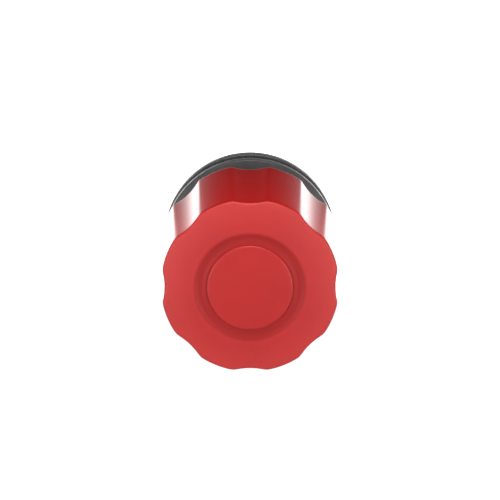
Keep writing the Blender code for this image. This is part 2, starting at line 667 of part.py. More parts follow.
def add_bridge(name, y, z, facing, moving):
    """Moving contact: a bar with two contact tips, which face towards facing along Y."""
    half_tip, tip_x, tip_height = 0.7 * MM, 4.9 * MM, 0.6 * MM
    flat, tipped = (y + BRIDGE_THICKNESS, y) if facing < 0 else (y, y + BRIDGE_THICKNESS)
    tip_y = tipped + facing * tip_height
    outline = [(-BRIDGE_HALF_LENGTH, flat), (BRIDGE_HALF_LENGTH, flat), (BRIDGE_HALF_LENGTH, tipped)]
    for x in (tip_x, -tip_x):
        outline += [(x + half_tip, tipped), (x + half_tip * 0.6, tip_y),
                    (x - half_tip * 0.6, tip_y), (x - half_tip, tipped)]
    outline.append((-BRIDGE_HALF_LENGTH, tipped))
    half = BRIDGE_WIDTH / 2
    add_object(name, prism(name, outline, "Z", z - half, z + half), (BRASS, 0.3, 1.0), parent=moving)


def add_contact_spring(name, start, end, z, moving):
    """Spring that presses a moving contact against its fixed contacts."""
    radius, wire = 0.85 * MM, 0.17 * MM
    mesh = coil(name, radius, wire, (0, start, z), (0, end, z), 4, per_turn=8, sides=4)
    add_object(name, mesh, (STEEL, 0.3, 1.0), parent=moving)


def add_terminal(name, pad_y, side, z):
    """Fixed contact: a pad inside the case, and a strip folded double outside it, as a push-on tab."""
    inner_x, strip_outer_x = 3.9 * MM, STRIP_X + 0.4 * MM
    outline = [(inner_x, pad_y), (strip_outer_x, pad_y), (strip_outer_x, TAB_START_Y),
               (TAB_OUTER_X, TAB_START_Y), (TAB_OUTER_X, TAB_END_Y), (STRIP_X, TAB_END_Y),
               (STRIP_X, pad_y + PAD), (inner_x, pad_y + PAD)]
    outline = [(side * x, y) for x, y in outline]
    half = BRIDGE_WIDTH / 2
    add_object(name, prism(name, outline, "Z", z - half, z + half), (BRASS, 0.3, 1.0))


def add_carrier_spring():
    """Spring behind the contact block's plunger."""
    radius, wire = 1.1 * MM, 0.2 * MM
    mesh = coil("carrier_spring", radius, wire, (0, CARRIER_SPRING_Y, 0), (0, COVER_Y - GAP, 0),
                6, per_turn=8, sides=4)
    add_object("carrier_spring", mesh, (STEEL, 0.3, 1.0))


def add_rear_cover():
    """Cover of the contact block, with four slots for the tabs and two screw holes."""
    bevel, screw_hole = 0.5 * MM, 1.2 * MM
    end = COVER_Y + COVER_THICKNESS
    before, past = COVER_Y - 1.0 * MM, end + 1.0 * MM
    profile = [(COVER_RADIUS, COVER_Y), (COVER_RADIUS, end - bevel), (COVER_RADIUS - bevel, end)]
    cover = add_object("rear_cover", turned("rear_cover", profile, ring_shaped=False), (DARK_GREY, 0.5))
    half = BRIDGE_WIDTH / 2 + GAP
    for x_side in (-1, 1):
        x = sorted((x_side * (STRIP_X - GAP), x_side * (TAB_OUTER_X + GAP)))
        for z in (CONTACT_Z, -CONTACT_Z):
            boolean(cover, box("tab_slot", (x[0], before, z - half), (x[1], past, z + half)))
    for z in (COVER_SCREW_Z, -COVER_SCREW_Z):
        boolean(cover, rod("screw_hole", screw_hole, (0, before, z), (0, past, z), 12))


def add_cover_screw(name, z):
    """Small pan-head screw with a cross slot, through the cover into the case."""
    seat = COVER_Y + COVER_THICKNESS + GAP
    start = Vector((0, 0, z))
    head, shank, point, tip = 1.8 * MM, 0.8 * MM, 0.5 * MM, 32.4 * MM
    slot_y, half_slot = seat + 0.6 * MM, 0.2 * MM
    profile = [(point, tip), (shank, tip + 0.6 * MM), (shank, seat), (head, seat), (head, slot_y),
               (head - 0.5 * MM, slot_y + 0.5 * MM)]
    screw = add_object(name, turned(name, profile, 16, ring_shaped=False), (STEEL, 0.35, 1.0),
                       place=start)
    slot = box("slot", (-2 * head, slot_y, z - half_slot), (2 * head, slot_y + 2 * MM, z + half_slot))
    boolean(screw, slot)


def build():
    """Build every piece; the moving ones hang on an empty on their joint's axis."""
    for obj in list(bpy.data.objects):
        bpy.data.objects.remove(obj)
    twist = empty("twist_axis", (0, 0, 0))
    push = empty("push_axis", (0, 0, 0))
    twist.parent = push

    add_knob(twist)
    add_knob_cap(twist)
    add_knob_screw(twist)
    add_shaft(twist)
    add_shaft_clip(twist)
    add_twist_spring(twist)

    add_operator_body()
    add_guide_bush()
    add_shaft_seal()
    add_skirt_seal()
    add_return_spring()
    add_bezel_ring()
    add_mounting_collar()
    add_panel_gasket()
    add_lock_washer()
    add_ring_nut()

    add_latch_carrier()
    add_latch_cover()
    for side, word in ((-1, "left"), (1, "right")):
        add_pawl(side, f"latch_pawl_{word}")
        add_pawl_spring(side, f"pawl_spring_{word}")
        add_terminal(f"terminal_nc_{word}", NC_PAD_Y, side, CONTACT_Z)
        add_terminal(f"terminal_no_{word}", NO_PAD_Y, side, -CONTACT_Z)

    add_slider()
    add_contact_housing()
    add_contact_carrier(push)
    add_bridge("nc_bridge", NC_BRIDGE_Y, CONTACT_Z, -1, push)
    add_bridge("no_bridge", NO_BRIDGE_Y, -CONTACT_Z, 1, push)
    add_contact_spring("nc_spring", NC_BRIDGE_Y + 1.0 * MM, NC_SPRING_END_Y, CONTACT_Z, push)
    add_contact_spring("no_spring", NO_SPRING_Y, NO_BRIDGE_Y - 0.2 * MM, -CONTACT_Z, push)
    add_carrier_spring()
    add_rear_cover()
    add_cover_screw("cover_screw_top", COVER_SCREW_Z)
    add_cover_screw("cover_screw_bottom", -COVER_SCREW_Z)


build()
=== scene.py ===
import math

import bmesh
import bpy
from mathutils import Matrix, Vector


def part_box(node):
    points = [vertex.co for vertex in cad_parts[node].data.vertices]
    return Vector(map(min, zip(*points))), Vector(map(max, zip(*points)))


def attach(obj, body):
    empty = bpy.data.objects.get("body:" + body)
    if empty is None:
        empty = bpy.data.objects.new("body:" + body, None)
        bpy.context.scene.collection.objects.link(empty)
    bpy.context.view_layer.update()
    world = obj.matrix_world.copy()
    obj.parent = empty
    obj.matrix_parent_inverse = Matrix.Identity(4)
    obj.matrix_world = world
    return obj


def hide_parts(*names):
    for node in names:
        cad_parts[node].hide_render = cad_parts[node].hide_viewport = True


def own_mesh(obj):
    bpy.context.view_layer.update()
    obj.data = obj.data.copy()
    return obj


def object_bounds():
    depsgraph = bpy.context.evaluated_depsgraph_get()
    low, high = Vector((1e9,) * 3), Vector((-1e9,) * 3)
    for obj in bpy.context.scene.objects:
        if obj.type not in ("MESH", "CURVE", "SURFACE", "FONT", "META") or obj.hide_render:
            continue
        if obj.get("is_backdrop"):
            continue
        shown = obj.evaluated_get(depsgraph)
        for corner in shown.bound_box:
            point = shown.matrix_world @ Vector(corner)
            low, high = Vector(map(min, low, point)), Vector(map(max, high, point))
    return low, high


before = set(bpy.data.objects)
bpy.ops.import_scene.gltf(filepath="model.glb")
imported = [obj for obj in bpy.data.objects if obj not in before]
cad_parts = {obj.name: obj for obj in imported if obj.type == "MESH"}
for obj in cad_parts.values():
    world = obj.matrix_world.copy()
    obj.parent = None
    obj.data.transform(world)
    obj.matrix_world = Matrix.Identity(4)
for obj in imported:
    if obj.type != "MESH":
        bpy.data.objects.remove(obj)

MM = 0.001
CAD_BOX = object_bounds()
AXIS_STEPS = 128                    # facets around large turned pieces
SMALL_STEPS = 32                    # facets around small ones
HOLE_STEPS = 24                     # facets around holes and bosses
CORNER_STEPS = 4                    # facets across a rounded corner
SIDES = ((-1, "left"), (1, "right"))

# the fluted knob, from its CAD nodes' own boxes
KNOB_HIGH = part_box("knob")[1]
CAP_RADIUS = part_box("knob_cap")[1].x
FLUTES = 8
RIM_FLUTE = math.radians(11.2)      # half the angle that a flute takes up at the rim
FACE_FLUTE = math.radians(10.3)     # and at the face
RIM_HOLLOW = 0.60 * MM              # a flute's depth below the straight line between its edges
FACE_HOLLOW = 0.50 * MM
RIM_SOFTNESS = 0.08 * MM            # how far a flute's edges are rounded off
FACE_SOFTNESS = 0.20 * MM
RIM_RADIUS = KNOB_HIGH.x / math.cos(RIM_FLUTE)
FACE_RADIUS = RIM_RADIUS * 0.927
RIM_ROUNDING = 0.035 * MM
FACE_EDGE_Y = KNOB_HIGH.y - 25.5 * MM
FACE_ROUNDING = 0.6 * MM
DOME_HEIGHT = 1.5 * MM
GROOVE_OUTER = 11.31 * MM
GROOVE_FLOOR_Y = -44.96 * MM
WALL_INSIDE = 0.9 * MM              # how far the groove's soft wall reaches inwards
WALL_OUTSIDE = 0.7 * MM             # and outwards
FOOT_WIDTH = 1.2 * MM               # where the groove's floor rises to meet the cap
FOOT_RISE = 0.12 * MM

# the pieces behind the knob
GAP = 0.3 * MM                      # clearance that the CAD leaves between touching pieces
SCREW_HEAD = 1.8 * MM
COVER_SCREW_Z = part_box("cover_screw_top")[1].z - SCREW_HEAD
CONTACT_Z = 3.4 * MM                # the closed contact lies at +Z, the open one at -Z

# brightness of the setting
FLOOR_GLOW = 1.0                    # floor under and behind the object
FRONT_GLOW = 0.42                   # floor in front of it
SWEEP_GLOW = 2.5                    # foot of the sweep
SWEEP_FADE = 4.6                    # how fast the sweep darkens upwards
WORLD_GLOW = 0.02                   # surroundings above and behind
FRONT_WORLD = 0.42                  # surroundings in front
SIDE_WORLD = 0.6                    # surroundings at the sides
KEY = 1.45                          # panel above the front
TOP = 5.0                           # panel overhead
SIDE = 2.0                          # panels at the left and right
LOW = 4.6                           # low strips before the flanks


# ---------------------------------------------------------------- mesh helpers

def make_object(name, mesh, *looks):
    """Put a mesh in the scene, with one material slot for each look."""
    obj = bpy.data.objects.new(name, mesh)
    bpy.context.scene.collection.objects.link(obj)
    for look in looks:
        mesh.materials.append(look)
    return obj


def smooth(mesh, sharp_degrees=40):
    """Shade a mesh smoothly, apart from its sharp edges."""
    mesh.shade_smooth()
    mesh.set_sharp_from_angle(angle=math.radians(sharp_degrees))


def close_mesh(name, bm, sharp_degrees=40):
    """Turn a bmesh into a smooth-shaded mesh that keeps its sharp edges."""
    bmesh.ops.recalc_face_normals(bm, faces=bm.faces)
    mesh = bpy.data.meshes.new(name)
    bm.to_mesh(mesh)
    bm.free()
    smooth(mesh, sharp_degrees)
    return mesh


def skin(name, loops, ring_shaped=True, sharp_degrees=40):
    """Join loops of points into a surface; a piece that isn't ring-shaped gets two end caps."""
    bm = bmesh.new()
    rows = [[bm.verts.new(point) for point in loop] for loop in loops]
    pairs = list(zip(rows, rows[1:]))
    if ring_shaped:
        pairs.append((rows[-1], rows[0]))
    count = len(rows[0])
    for first, second in pairs:
        for number in range(count):
            after = (number + 1) % count
            bm.faces.new((first[number], first[after], second[after], second[number]))
    if not ring_shaped:
        bm.faces.new(rows[0])
        bm.faces.new(rows[-1])
    return close_mesh(name, bm, sharp_degrees)


def around(radius, y, angles):
    """Return one loop of points around Y; radius and y are numbers or functions of the angle."""
    radius_at = radius if callable(radius) else lambda angle: radius
    y_at = y if callable(y) else lambda angle: y
    return [(radius_at(a) * math.cos(a), y_at(a), radius_at(a) * math.sin(a)) for a in angles]


def rings(points, angles):
    """Return a round loop for each (radius, y) point."""
    return [around(radius, y, angles) for radius, y in points]


def even_angles(steps):
    """Return evenly spaced angles for one full turn."""
    return [math.tau * number / steps for number in range(steps)]


def off_centre(angle, count):
    """Return the angle from the middle of the nearest of count even sectors."""
    step = math.tau / count
    return (angle + step / 2) % step - step / 2


def hexagon(angle, apothem, corner):
    """Return the radius of a hexagon whose corners are cut back to a given radius."""
    return min(apothem / math.cos(off_centre(angle, 6)), corner)


def rounded(profile, radius, closed=True):
    """Round the corners of a (radius, y) profile; a corner may carry its own radius as third value."""
    tiny, nearly_straight, half_edge = 1e-7, math.radians(176), 0.49
    count = len(profile)
    result = []
    for number, corner in enumerate(profile):
        size = corner[2] if len(corner) > 2 else radius
        here = Vector(corner[:2])
        at_end = not closed and number in (0, count - 1)
        before = Vector(profile[number - 1][:2]) - here
        after = Vector(profile[(number + 1) % count][:2]) - here
        too_small = size <= 0 or min(before.length, after.length) < tiny
        if at_end or too_small or before.angle(after) > nearly_straight:
            result.append(tuple(here))
            continue
        angle = before.angle(after)
        reach = min(size / math.tan(angle / 2), before.length * half_edge, after.length * half_edge)
        start, end = here + before.normalized() * reach, here + after.normalized() * reach
        for step in range(CORNER_STEPS + 1):
            share = step / CORNER_STEPS
            point = start * (1 - share) ** 2 + here * 2 * share * (1 - share) + end * share ** 2
            result.append(tuple(point))
    return result


def turned(name, profile, fillet, steps=AXIS_STEPS, ring_shaped=True, sharp_degrees=40):
    """Turn a profile of (radius, y) corners around Y, with rounded corners."""
    points = rounded(profile, fillet, closed=ring_shaped)
    return skin(name, rings(points, even_angles(steps)), ring_shaped, sharp_degrees)


def prism(name, outline, axis, start, end):
    """Extrude an outline along an axis. Its points are the other two axes, in X, Y, Z order."""
    number = "XYZ".index(axis)
    ends = [[(*pair[:number], along, *pair[number:]) for pair in outline] for along in (start, end)]
    return skin(name, ends, ring_shaped=False)


def box_mesh(name, low, high):
    """Make a box between two corners."""
    outline = [(low[0], low[2]), (high[0], low[2]), (high[0], high[2]), (low[0], high[2])]
    return prism(name, outline, "Y", low[1], high[1])


def rod_mesh(name, radius, start, end, sides=HOLE_STEPS):
    """Make a round bar between two points."""
    start, end = Vector(start), Vector(end)
    turn = (end - start).to_track_quat("Z", "Y").to_matrix().to_4x4()
    bm = bmesh.new()
    bmesh.ops.create_cone(
        bm, cap_ends=True, segments=sides, radius1=radius, radius2=radius,
        depth=(end - start).length, matrix=Matrix.Translation((start + end) / 2) @ turn)
    return close_mesh(name, bm)


def apply_modifiers(obj):
    """Replace an object's mesh by its evaluated mesh, without the modifiers."""
    graph = bpy.context.evaluated_depsgraph_get()
    mesh = bpy.data.meshes.new_from_object(obj.evaluated_get(graph))
    obj.modifiers.clear()
    obj.data = mesh


def combine(obj, mesh, operation="DIFFERENCE"):
    """Cut a mesh out of an object, or join it on, for good."""
    helper = bpy.data.objects.new("helper", mesh)
    bpy.context.scene.collection.objects.link(helper)
    modifier = obj.modifiers.new("combine", "BOOLEAN")
    modifier.operation = operation
    modifier.object = helper
    modifier.solver = "EXACT"
    bpy.context.view_layer.update()
    apply_modifiers(obj)
    bpy.data.objects.remove(helper)


def soften(obj, width, segments=2):
    """Bevel an object's sharp edges and smooth what lies between them."""
    bevel = obj.modifiers.new("soften", "BEVEL")
    bevel.width = width
    bevel.segments = segments
    bevel.limit_method = "ANGLE"
    bevel.angle_limit = math.radians(35)
    bevel.harden_normals = False
    bpy.context.view_layer.update()
    apply_modifiers(obj)
    smooth(obj.data)


def place(obj, body, slot, *nodes):
    """Let a piece ride on a body and stand for its CAD nodes; its slot is not used."""
    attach(obj, body)
    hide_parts(*nodes)


# ---------------------------------------------------------------- materials

def map_range(tree, value, start, stop, low, high, interpolation="LINEAR"):
    """Return a value mapped from the range start to stop onto the range low to high."""
    node = tree.nodes.new("ShaderNodeMapRange")
    node.interpolation_type = interpolation
    for socket, number in (("From Min", start), ("From Max", stop), ("To Min", low), ("To Max", high)):
        node.inputs[socket].default_value = number
    tree.links.new(value, node.inputs["Value"])
    return node.outputs["Result"]


def axis_value(tree, coordinate, axis):
    """Return one axis of a texture coordinate."""
    split = tree.nodes.new("ShaderNodeSeparateXYZ")
    tree.links.new(tree.nodes.new("ShaderNodeTexCoord").outputs[coordinate], split.inputs["Vector"])
    return split.outputs[axis]


def math_node(tree, operation, value):
    """Put a value into the first input of a new math node."""
    node = tree.nodes.new("ShaderNodeMath")
    node.operation = operation
    tree.links.new(value, node.inputs[0])
    return node


class Look:
    """A Principled material with small helpers for procedural detail in object space."""

    def __init__(self, name, colour, roughness, metallic=0.0):
        self.material = bpy.data.materials.new(name)
        self.material.use_nodes = True
        self.tree = self.material.node_tree
        self.shader = self.tree.nodes["Principled BSDF"]
        self.shader.inputs["Base Color"].default_value = (*colour, 1)
        self.shader.inputs["Roughness"].default_value = roughness
        self.shader.inputs["Metallic"].default_value = metallic
        self.place = self.tree.nodes.new("ShaderNodeTexCoord").outputs["Object"]
        self.height = None

    def set(self, **values):
        """Set sockets of the shader by name, with _ for each space."""
        for name, value in values.items():
            self.shader.inputs[name.replace("_", " ")].default_value = value

    def noise(self, size, detail=3.0, stretch=(1, 1, 1)):
        """Return a noise value from 0 to 1 whose grain is about size metres."""
        mapping = self.tree.nodes.new("ShaderNodeMapping")
        mapping.inputs["Scale"].default_value = stretch
        self.tree.links.new(self.place, mapping.inputs["Vector"])
        noise = self.tree.nodes.new("ShaderNodeTexNoise")
        noise.inputs["Scale"].default_value = 1 / size
        noise.inputs["Detail"].default_value = detail
        self.tree.links.new(mapping.outputs["Vector"], noise.inputs["Vector"])
        return noise.outputs["Fac"]

    def along(self, axis):
        """Return the place along an axis, in metres."""
        return axis_value(self.tree, "Object", axis)

    def radius(self):
        """Return the distance from the push axis, in metres."""
        flat = self.tree.nodes.new("ShaderNodeVectorMath")
        flat.operation = "MULTIPLY"
        flat.inputs[1].default_value = (1, 0, 1)
        length = self.tree.nodes.new("ShaderNodeVectorMath")
        length.operation = "LENGTH"
        self.tree.links.new(self.place, flat.inputs[0])
        self.tree.links.new(flat.outputs["Vector"], length.inputs[0])
        return length.outputs["Value"]

    def spots(self, size):
        """Return the distance to the nearest cell centre, for a pitted or pebbled surface."""
        cells = self.tree.nodes.new("ShaderNodeTexVoronoi")
        cells.inputs["Scale"].default_value = 1 / size
        self.tree.links.new(self.place, cells.inputs["Vector"])
        return cells.outputs["Distance"]

    def ramp(self, value, low, high, start=0.3, stop=0.7):
        """Map a value onto a range of numbers."""
        return map_range(self.tree, value, start, stop, low, high)

    def colour_mix(self, blend):
        """Put a mix node between the colour so far and the shader."""
        base = self.shader.inputs["Base Color"]
        mix = self.tree.nodes.new("ShaderNodeMix")
        mix.data_type = "RGBA"
        mix.blend_type = blend
        mix.inputs["Factor"].default_value = 1
        mix.inputs["A"].default_value = base.default_value[:]
        if base.is_linked:
            self.tree.links.new(base.links[0].from_socket, mix.inputs["A"])
        self.tree.links.new(mix.outputs["Result"], base)
        return mix

    def vary_colour(self, value, other, start=0.3, stop=0.7):
        """Blend the base colour towards another one where a value is high."""
        mix = self.colour_mix("MIX")
        mix.inputs["B"].default_value = (*other, 1)
        self.tree.links.new(self.ramp(value, 0, 1, start, stop), mix.inputs["Factor"])

    def mottle(self, value, darkest):
        """Darken the base colour by up to a factor where a value is low."""
        mix = self.colour_mix("MULTIPLY")
        self.tree.links.new(self.ramp(value, darkest, 1), mix.inputs["B"])

    def vary_roughness(self, value, low, high, start=0.3, stop=0.7):
        """Let the roughness follow a value."""
        self.tree.links.new(self.ramp(value, low, high, start, stop), self.shader.inputs["Roughness"])

    def bump(self, value, depth, strength=1.0):
        """Add a bump of a given depth in metres, on top of earlier ones."""
        node = self.tree.nodes.new("ShaderNodeBump")
        node.inputs["Strength"].default_value = strength
        node.inputs["Distance"].default_value = depth
        self.tree.links.new(value, node.inputs["Height"])
        if self.height is not None:
            self.tree.links.new(self.height, node.inputs["Normal"])
        self.height = node.outputs["Normal"]
        self.tree.links.new(self.height, self.shader.inputs["Normal"])


def gloss_red():
    """Polished red plastic of the knob's flank: faint waves in a clear gloss, with painted shade that
    darkens it towards the rim at the back.
    """
    look = Look("red_gloss", (0.54, 0.011, 0.010), 0.12)
    look.set(Specular_IOR_Level=0.5)
    # painted shade: the flank's colour darkens from near the face back towards the rim
    painted_shade_from = FACE_EDGE_Y + 3 * MM
    look.vary_colour(look.along("Y"), (0.36, 0.007, 0.006), painted_shade_from, KNOB_HIGH.y)
    look.vary_roughness(look.noise(4 * MM, 4), 0.06, 0.12)
    look.bump(look.noise(1.6 * MM, 2), 0.004 * MM)
    return look.material


def face_red():
    """Satin red plastic of the knob's face: fine grain, painted sheen that makes it paler outwards, and
    a groove that is smoother and darker with painted shade.
    """
    look = Look("red_face", (0.40, 0.008, 0.007), 0.44)
    look.set(Specular_IOR_Level=0.42, Sheen_Weight=0.04, Sheen_Roughness=0.5)
    start, stop = GROOVE_OUTER - 0.1 * MM, GROOVE_OUTER + 0.5 * MM
    painted_sheen_from, painted_sheen_at = 13.0 * MM, 17.6 * MM
    # painted shade: the groove keeps the darker base colour, and the face outside it turns lighter
    look.vary_colour(look.radius(), (0.55, 0.021, 0.021), start, stop)
    # painted sheen: the face turns paler and whiter towards its edge
    look.vary_colour(look.radius(), (0.60, 0.034, 0.032), painted_sheen_from, painted_sheen_at)
    look.mottle(look.noise(7 * MM), 0.93)
    look.vary_roughness(look.radius(), 0.38, 0.47, start, stop)
    look.bump(look.noise(0.16 * MM, 3), 0.008 * MM, 0.6)
    return look.material


def cap_red():
    """Red plastic of the centre disc, slightly smoother and deeper in colour than the face."""
    look = Look("red_cap", (0.525, 0.018, 0.017), 0.38)
    look.set(Specular_IOR_Level=0.42)
    look.mottle(look.noise(7 * MM), 0.93)
    look.vary_roughness(look.noise(2.5 * MM, 4), 0.34, 0.42)
    look.bump(look.noise(0.16 * MM, 3), 0.010 * MM, 0.6)
    return look.material


def black_plastic(name, colour, roughness, depth=0.02 * MM):
    """Dark moulded plastic with a fine grain and slightly uneven gloss."""
    look = Look(name, colour, roughness)
    look.set(Specular_IOR_Level=0.5)
    lighter = tuple(c * 1.35 + 0.004 for c in colour)
    look.vary_colour(look.noise(3 * MM, 4), lighter)
    look.vary_roughness(look.noise(1.5 * MM, 4), roughness - 0.06, roughness + 0.08)
    look.bump(look.noise(0.2 * MM, 3), depth, 0.5)
    return look.material


def rubber():
    """Matt black rubber with a dusty bloom."""
    look = Look("rubber_black", (0.014, 0.014, 0.015), 0.72)
    look.vary_colour(look.noise(2 * MM, 5), (0.035, 0.035, 0.036), 0.45, 0.75)
    look.vary_roughness(look.noise(0.8 * MM), 0.62, 0.82)
    look.bump(look.noise(0.12 * MM, 2), 0.01 * MM, 0.6)
    return look.material


def zinc_steel():
    """Zinc-plated steel: crystalline sheen, fine turning marks around the axis."""
    look = Look("zinc_steel", (0.56, 0.57, 0.58), 0.30, 1.0)
    look.vary_colour(look.spots(0.6 * MM), (0.50, 0.52, 0.55), 0.1, 0.6)
    look.vary_roughness(look.noise(0.7 * MM, 4), 0.22, 0.42)
    look.bump(look.noise(0.9 * MM, 4, (0.2, 6, 0.2)), 0.004 * MM, 0.6)
    return look.material


def spring_wire():
    """Bright drawn spring wire."""
    look = Look("spring_wire", (0.60, 0.60, 0.59), 0.22, 1.0)
    look.vary_roughness(look.noise(0.5 * MM, 4), 0.16, 0.32)
    look.vary_colour(look.noise(1.5 * MM, 3), (0.50, 0.49, 0.47))
    return look.material


def contact_metal():
    """Silver-flashed brass strip, warmer where the flash is thin."""
    look = Look("contact_metal", (0.80, 0.77, 0.70), 0.26, 1.0)
    look.vary_colour(look.noise(1.8 * MM, 4), (0.72, 0.58, 0.34), 0.45, 0.8)
    look.vary_roughness(look.noise(0.6 * MM, 4), 0.20, 0.40)
    look.bump(look.noise(0.5 * MM, 3, (1, 0.1, 1)), 0.003 * MM, 0.5)
    return look.material


def acetal():
    """Natural acetal: waxy off-white."""
    look = Look("acetal_natural", (0.72, 0.69, 0.60), 0.40)
    look.set(Subsurface_Weight=0.15, Subsurface_Scale=0.8 * MM)
    look.vary_colour(look.noise(3 * MM, 3), (0.66, 0.63, 0.54))
    look.bump(look.noise(0.4 * MM, 3), 0.004 * MM)
    return look.material


def green_plastic():
    """Green plastic of the contact block's plunger."""
    look = Look("plunger_green", (0.04, 0.20, 0.09), 0.42)
    look.vary_colour(look.noise(2.5 * MM, 3), (0.05, 0.24, 0.11))
    look.bump(look.noise(0.3 * MM, 3), 0.005 * MM)
    return look.material


# ---------------------------------------------------------------- the red head

def flute_outline(share):
    """Return the knob's outline at a share of the way from the rim to the face.

    Its lobes lie on a circle, and arcs hollow out the flutes between them.
    """
    radius, half_angle, hollow, softness = (
        rim + (face - rim) * share for rim, face in
        ((RIM_RADIUS, FACE_RADIUS), (RIM_FLUTE, FACE_FLUTE), (RIM_HOLLOW, FACE_HOLLOW),
         (RIM_SOFTNESS, FACE_SOFTNESS)))
    half_chord = radius * math.sin(half_angle)
    arc = (half_chord ** 2 + hollow ** 2) / (2 * hollow)
    centre = radius * math.cos(half_angle) + arc - hollow
    largest = 60         # keeps the exponential within bounds

    def outline(angle):
        from_middle = off_centre(angle, FLUTES)
        inside = arc ** 2 - (centre * math.sin(from_middle)) ** 2
        if inside <= 0:
            return radius
        flute = centre * math.cos(from_middle) - math.sqrt(inside)
        gap = max(min((flute - radius) / softness, largest), -largest)
        return radius - softness * math.log(1 + math.exp(-gap))
    return outline


def knob_angles():
    """Return angles for one turn, close together at the flutes' edges."""
    first, last, middle = FACE_FLUTE * 0.86, RIM_FLUTE * 1.10, math.pi / FLUTES
    in_flute, at_edge, on_lobe = 8, 16, 7
    half = [first * n / in_flute for n in range(in_flute)]
    half += [first + (last - first) * n / at_edge for n in range(at_edge)]
    half += [last + (middle - last) * n / on_lobe for n in range(on_lobe + 1)]
    whole = [-a for a in reversed(half[1:-1])] + half
    return [math.tau * flute / FLUTES + a for flute in range(FLUTES) for a in whole]


def dome(radius):
    """Return y of the domed face at a radius."""
    edge = FACE_RADIUS - FACE_ROUNDING
    return FACE_EDGE_Y - FACE_ROUNDING - DOME_HEIGHT * (1 - (radius / edge) ** 2)


def smooth_step(share):
    """Ease from 0 to 1."""
    share = max(0.0, min(1.0, share))
    return share * share * (3 - 2 * share)


def face_y(radius):
    """Return y of the face, with the soft-edged ring groove pressed into its dome."""
    inner, outer = GROOVE_OUTER - WALL_INSIDE, GROOVE_OUTER + WALL_OUTSIDE
    wall = smooth_step((radius - inner) / (outer - inner))
    foot = 1 - smooth_step((radius - CAP_RADIUS) / FOOT_WIDTH)
    floor = GROOVE_FLOOR_Y - FOOT_RISE * foot
    return floor + (dome(radius) - floor) * wall


def side_loops(angles):
    """Return the loops of the knob's flank, from the rim at the back to the front edge."""
    rim = flute_outline(0)
    loops = []
    for step in range(CORNER_STEPS + 1):
        turn = math.pi / 2 * step / CORNER_STEPS
        inset = RIM_ROUNDING * (1 - math.sin(turn))
        rise = RIM_ROUNDING * (1 - math.cos(turn))
        loops.append(around(lambda a: rim(a) - inset, KNOB_HIGH.y - rise, angles))
    levels, close_to_rim = 24, 0.006
    for share in [close_to_rim] + [step / levels for step in range(1, levels)]:
        y = KNOB_HIGH.y - RIM_ROUNDING + (FACE_EDGE_Y - KNOB_HIGH.y + RIM_ROUNDING) * share
        loops.append(around(flute_outline(share), y, angles))
    return loops


def edge_loops(angles):
    """Return the loops of the rounded front edge, which follows the dome into the flutes."""
    shape = flute_outline(1)
    sweep, steps = math.radians(74), 5
    loops = []
    for step in range(steps + 1):
        turn = sweep * step / steps
        inset = FACE_ROUNDING * (1 - math.cos(turn))
        rise = FACE_ROUNDING * math.sin(turn)

        def y_at(angle):
            dip = dome(shape(angle) - FACE_ROUNDING) - dome(FACE_RADIUS - FACE_ROUNDING)
            return FACE_EDGE_Y - rise + dip
        loops.append(around(lambda a: shape(a) - inset, y_at, angles))
    return loops


def face_loops(angles):
    """Return the loops of the domed face, from its edge to the pocket of the cap."""
    shape = flute_outline(1)
    blend_end, steps, ring_step = 13.6 * MM, 8, 0.12 * MM
    loops = []
    for step in range(1, steps + 1):
        share = step / steps
        reach = smooth_step(share) * 0.5 + share * 0.5

        def radius_at(angle):
            start = shape(angle) - FACE_ROUNDING * 0.9
            return start + (blend_end - start) * reach
        loops.append(around(radius_at, lambda a: face_y(radius_at(a)), angles))
    radius = blend_end
    while radius > CAP_RADIUS + 0.15 * MM:
        radius -= ring_step
        loops.append(around(radius, face_y(radius), angles))
    return loops


def make_rib(number, hub, floor_y, look):
    """Stiffening rib inside the knob, between its hub and its wall."""
    sunk, half = 0.2 * MM, 0.6 * MM
    start, root_y, foot_y, tip_y = hub - sunk, floor_y - sunk, -33.4 * MM, -34.0 * MM
    outline = [(start, root_y), (15.9 * MM, root_y), (16.1 * MM, tip_y), (start, foot_y)]
    name = f"knob_rib_{number}"
    mesh = prism(name, outline, "Z", -half, half)
    mesh.transform(Matrix.Rotation(-math.tau * (number + 0.5) / FLUTES, 4, "Y"))
    rib = make_object(name, mesh, look)
    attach(rib, "head")


def make_knob():
    """Fluted mushroom head with a satin face, glossy flanks, a hub and stiffening ribs inside."""
    angles = knob_angles()
    pocket = CAP_RADIUS + 0.02 * MM
    seat, bore, socket, hub = 5.4 * MM, 2.4 * MM, 3.7 * MM, 6.6 * MM
    pocket_y, seat_y, socket_y, hub_y, floor_y = (y * MM for y in (-43.3, -39.0, -36.0, -24.0, -40.2))
    inner, fillet, softened = KNOB_HIGH.x - 1.8 * MM, 0.3 * MM, 0.08 * MM
    inside = [
        (pocket, face_y(pocket)), (pocket, pocket_y), (seat, pocket_y), (seat, seat_y), (bore, seat_y),
        (bore, socket_y), (socket, socket_y), (socket, hub_y, fillet), (hub, hub_y, fillet),
        (hub, floor_y, 0.6 * MM), (inner - 1.0 * MM, floor_y, 1.0 * MM),
        (inner - 0.1 * MM, KNOB_HIGH.y, fillet),
    ]
    outside = side_loops(angles) + edge_loops(angles) + face_loops(angles)
    body = rings(rounded(inside, softened, closed=False), angles)
    mesh = skin("knob_shell", outside + body, sharp_degrees=50)
    gloss = gloss_red()
    knob = make_object("knob_shell", mesh, gloss, face_red())
    front = FACE_EDGE_Y - FACE_ROUNDING * 0.55
    for polygon in mesh.polygons:
        if polygon.center.y < front and polygon.center.xz.length > CAP_RADIUS:
            polygon.material_index = 1
    place(knob, "head", "knob_red", "knob")
    for number in range(FLUTES):
        make_rib(number, hub, floor_y, gloss)


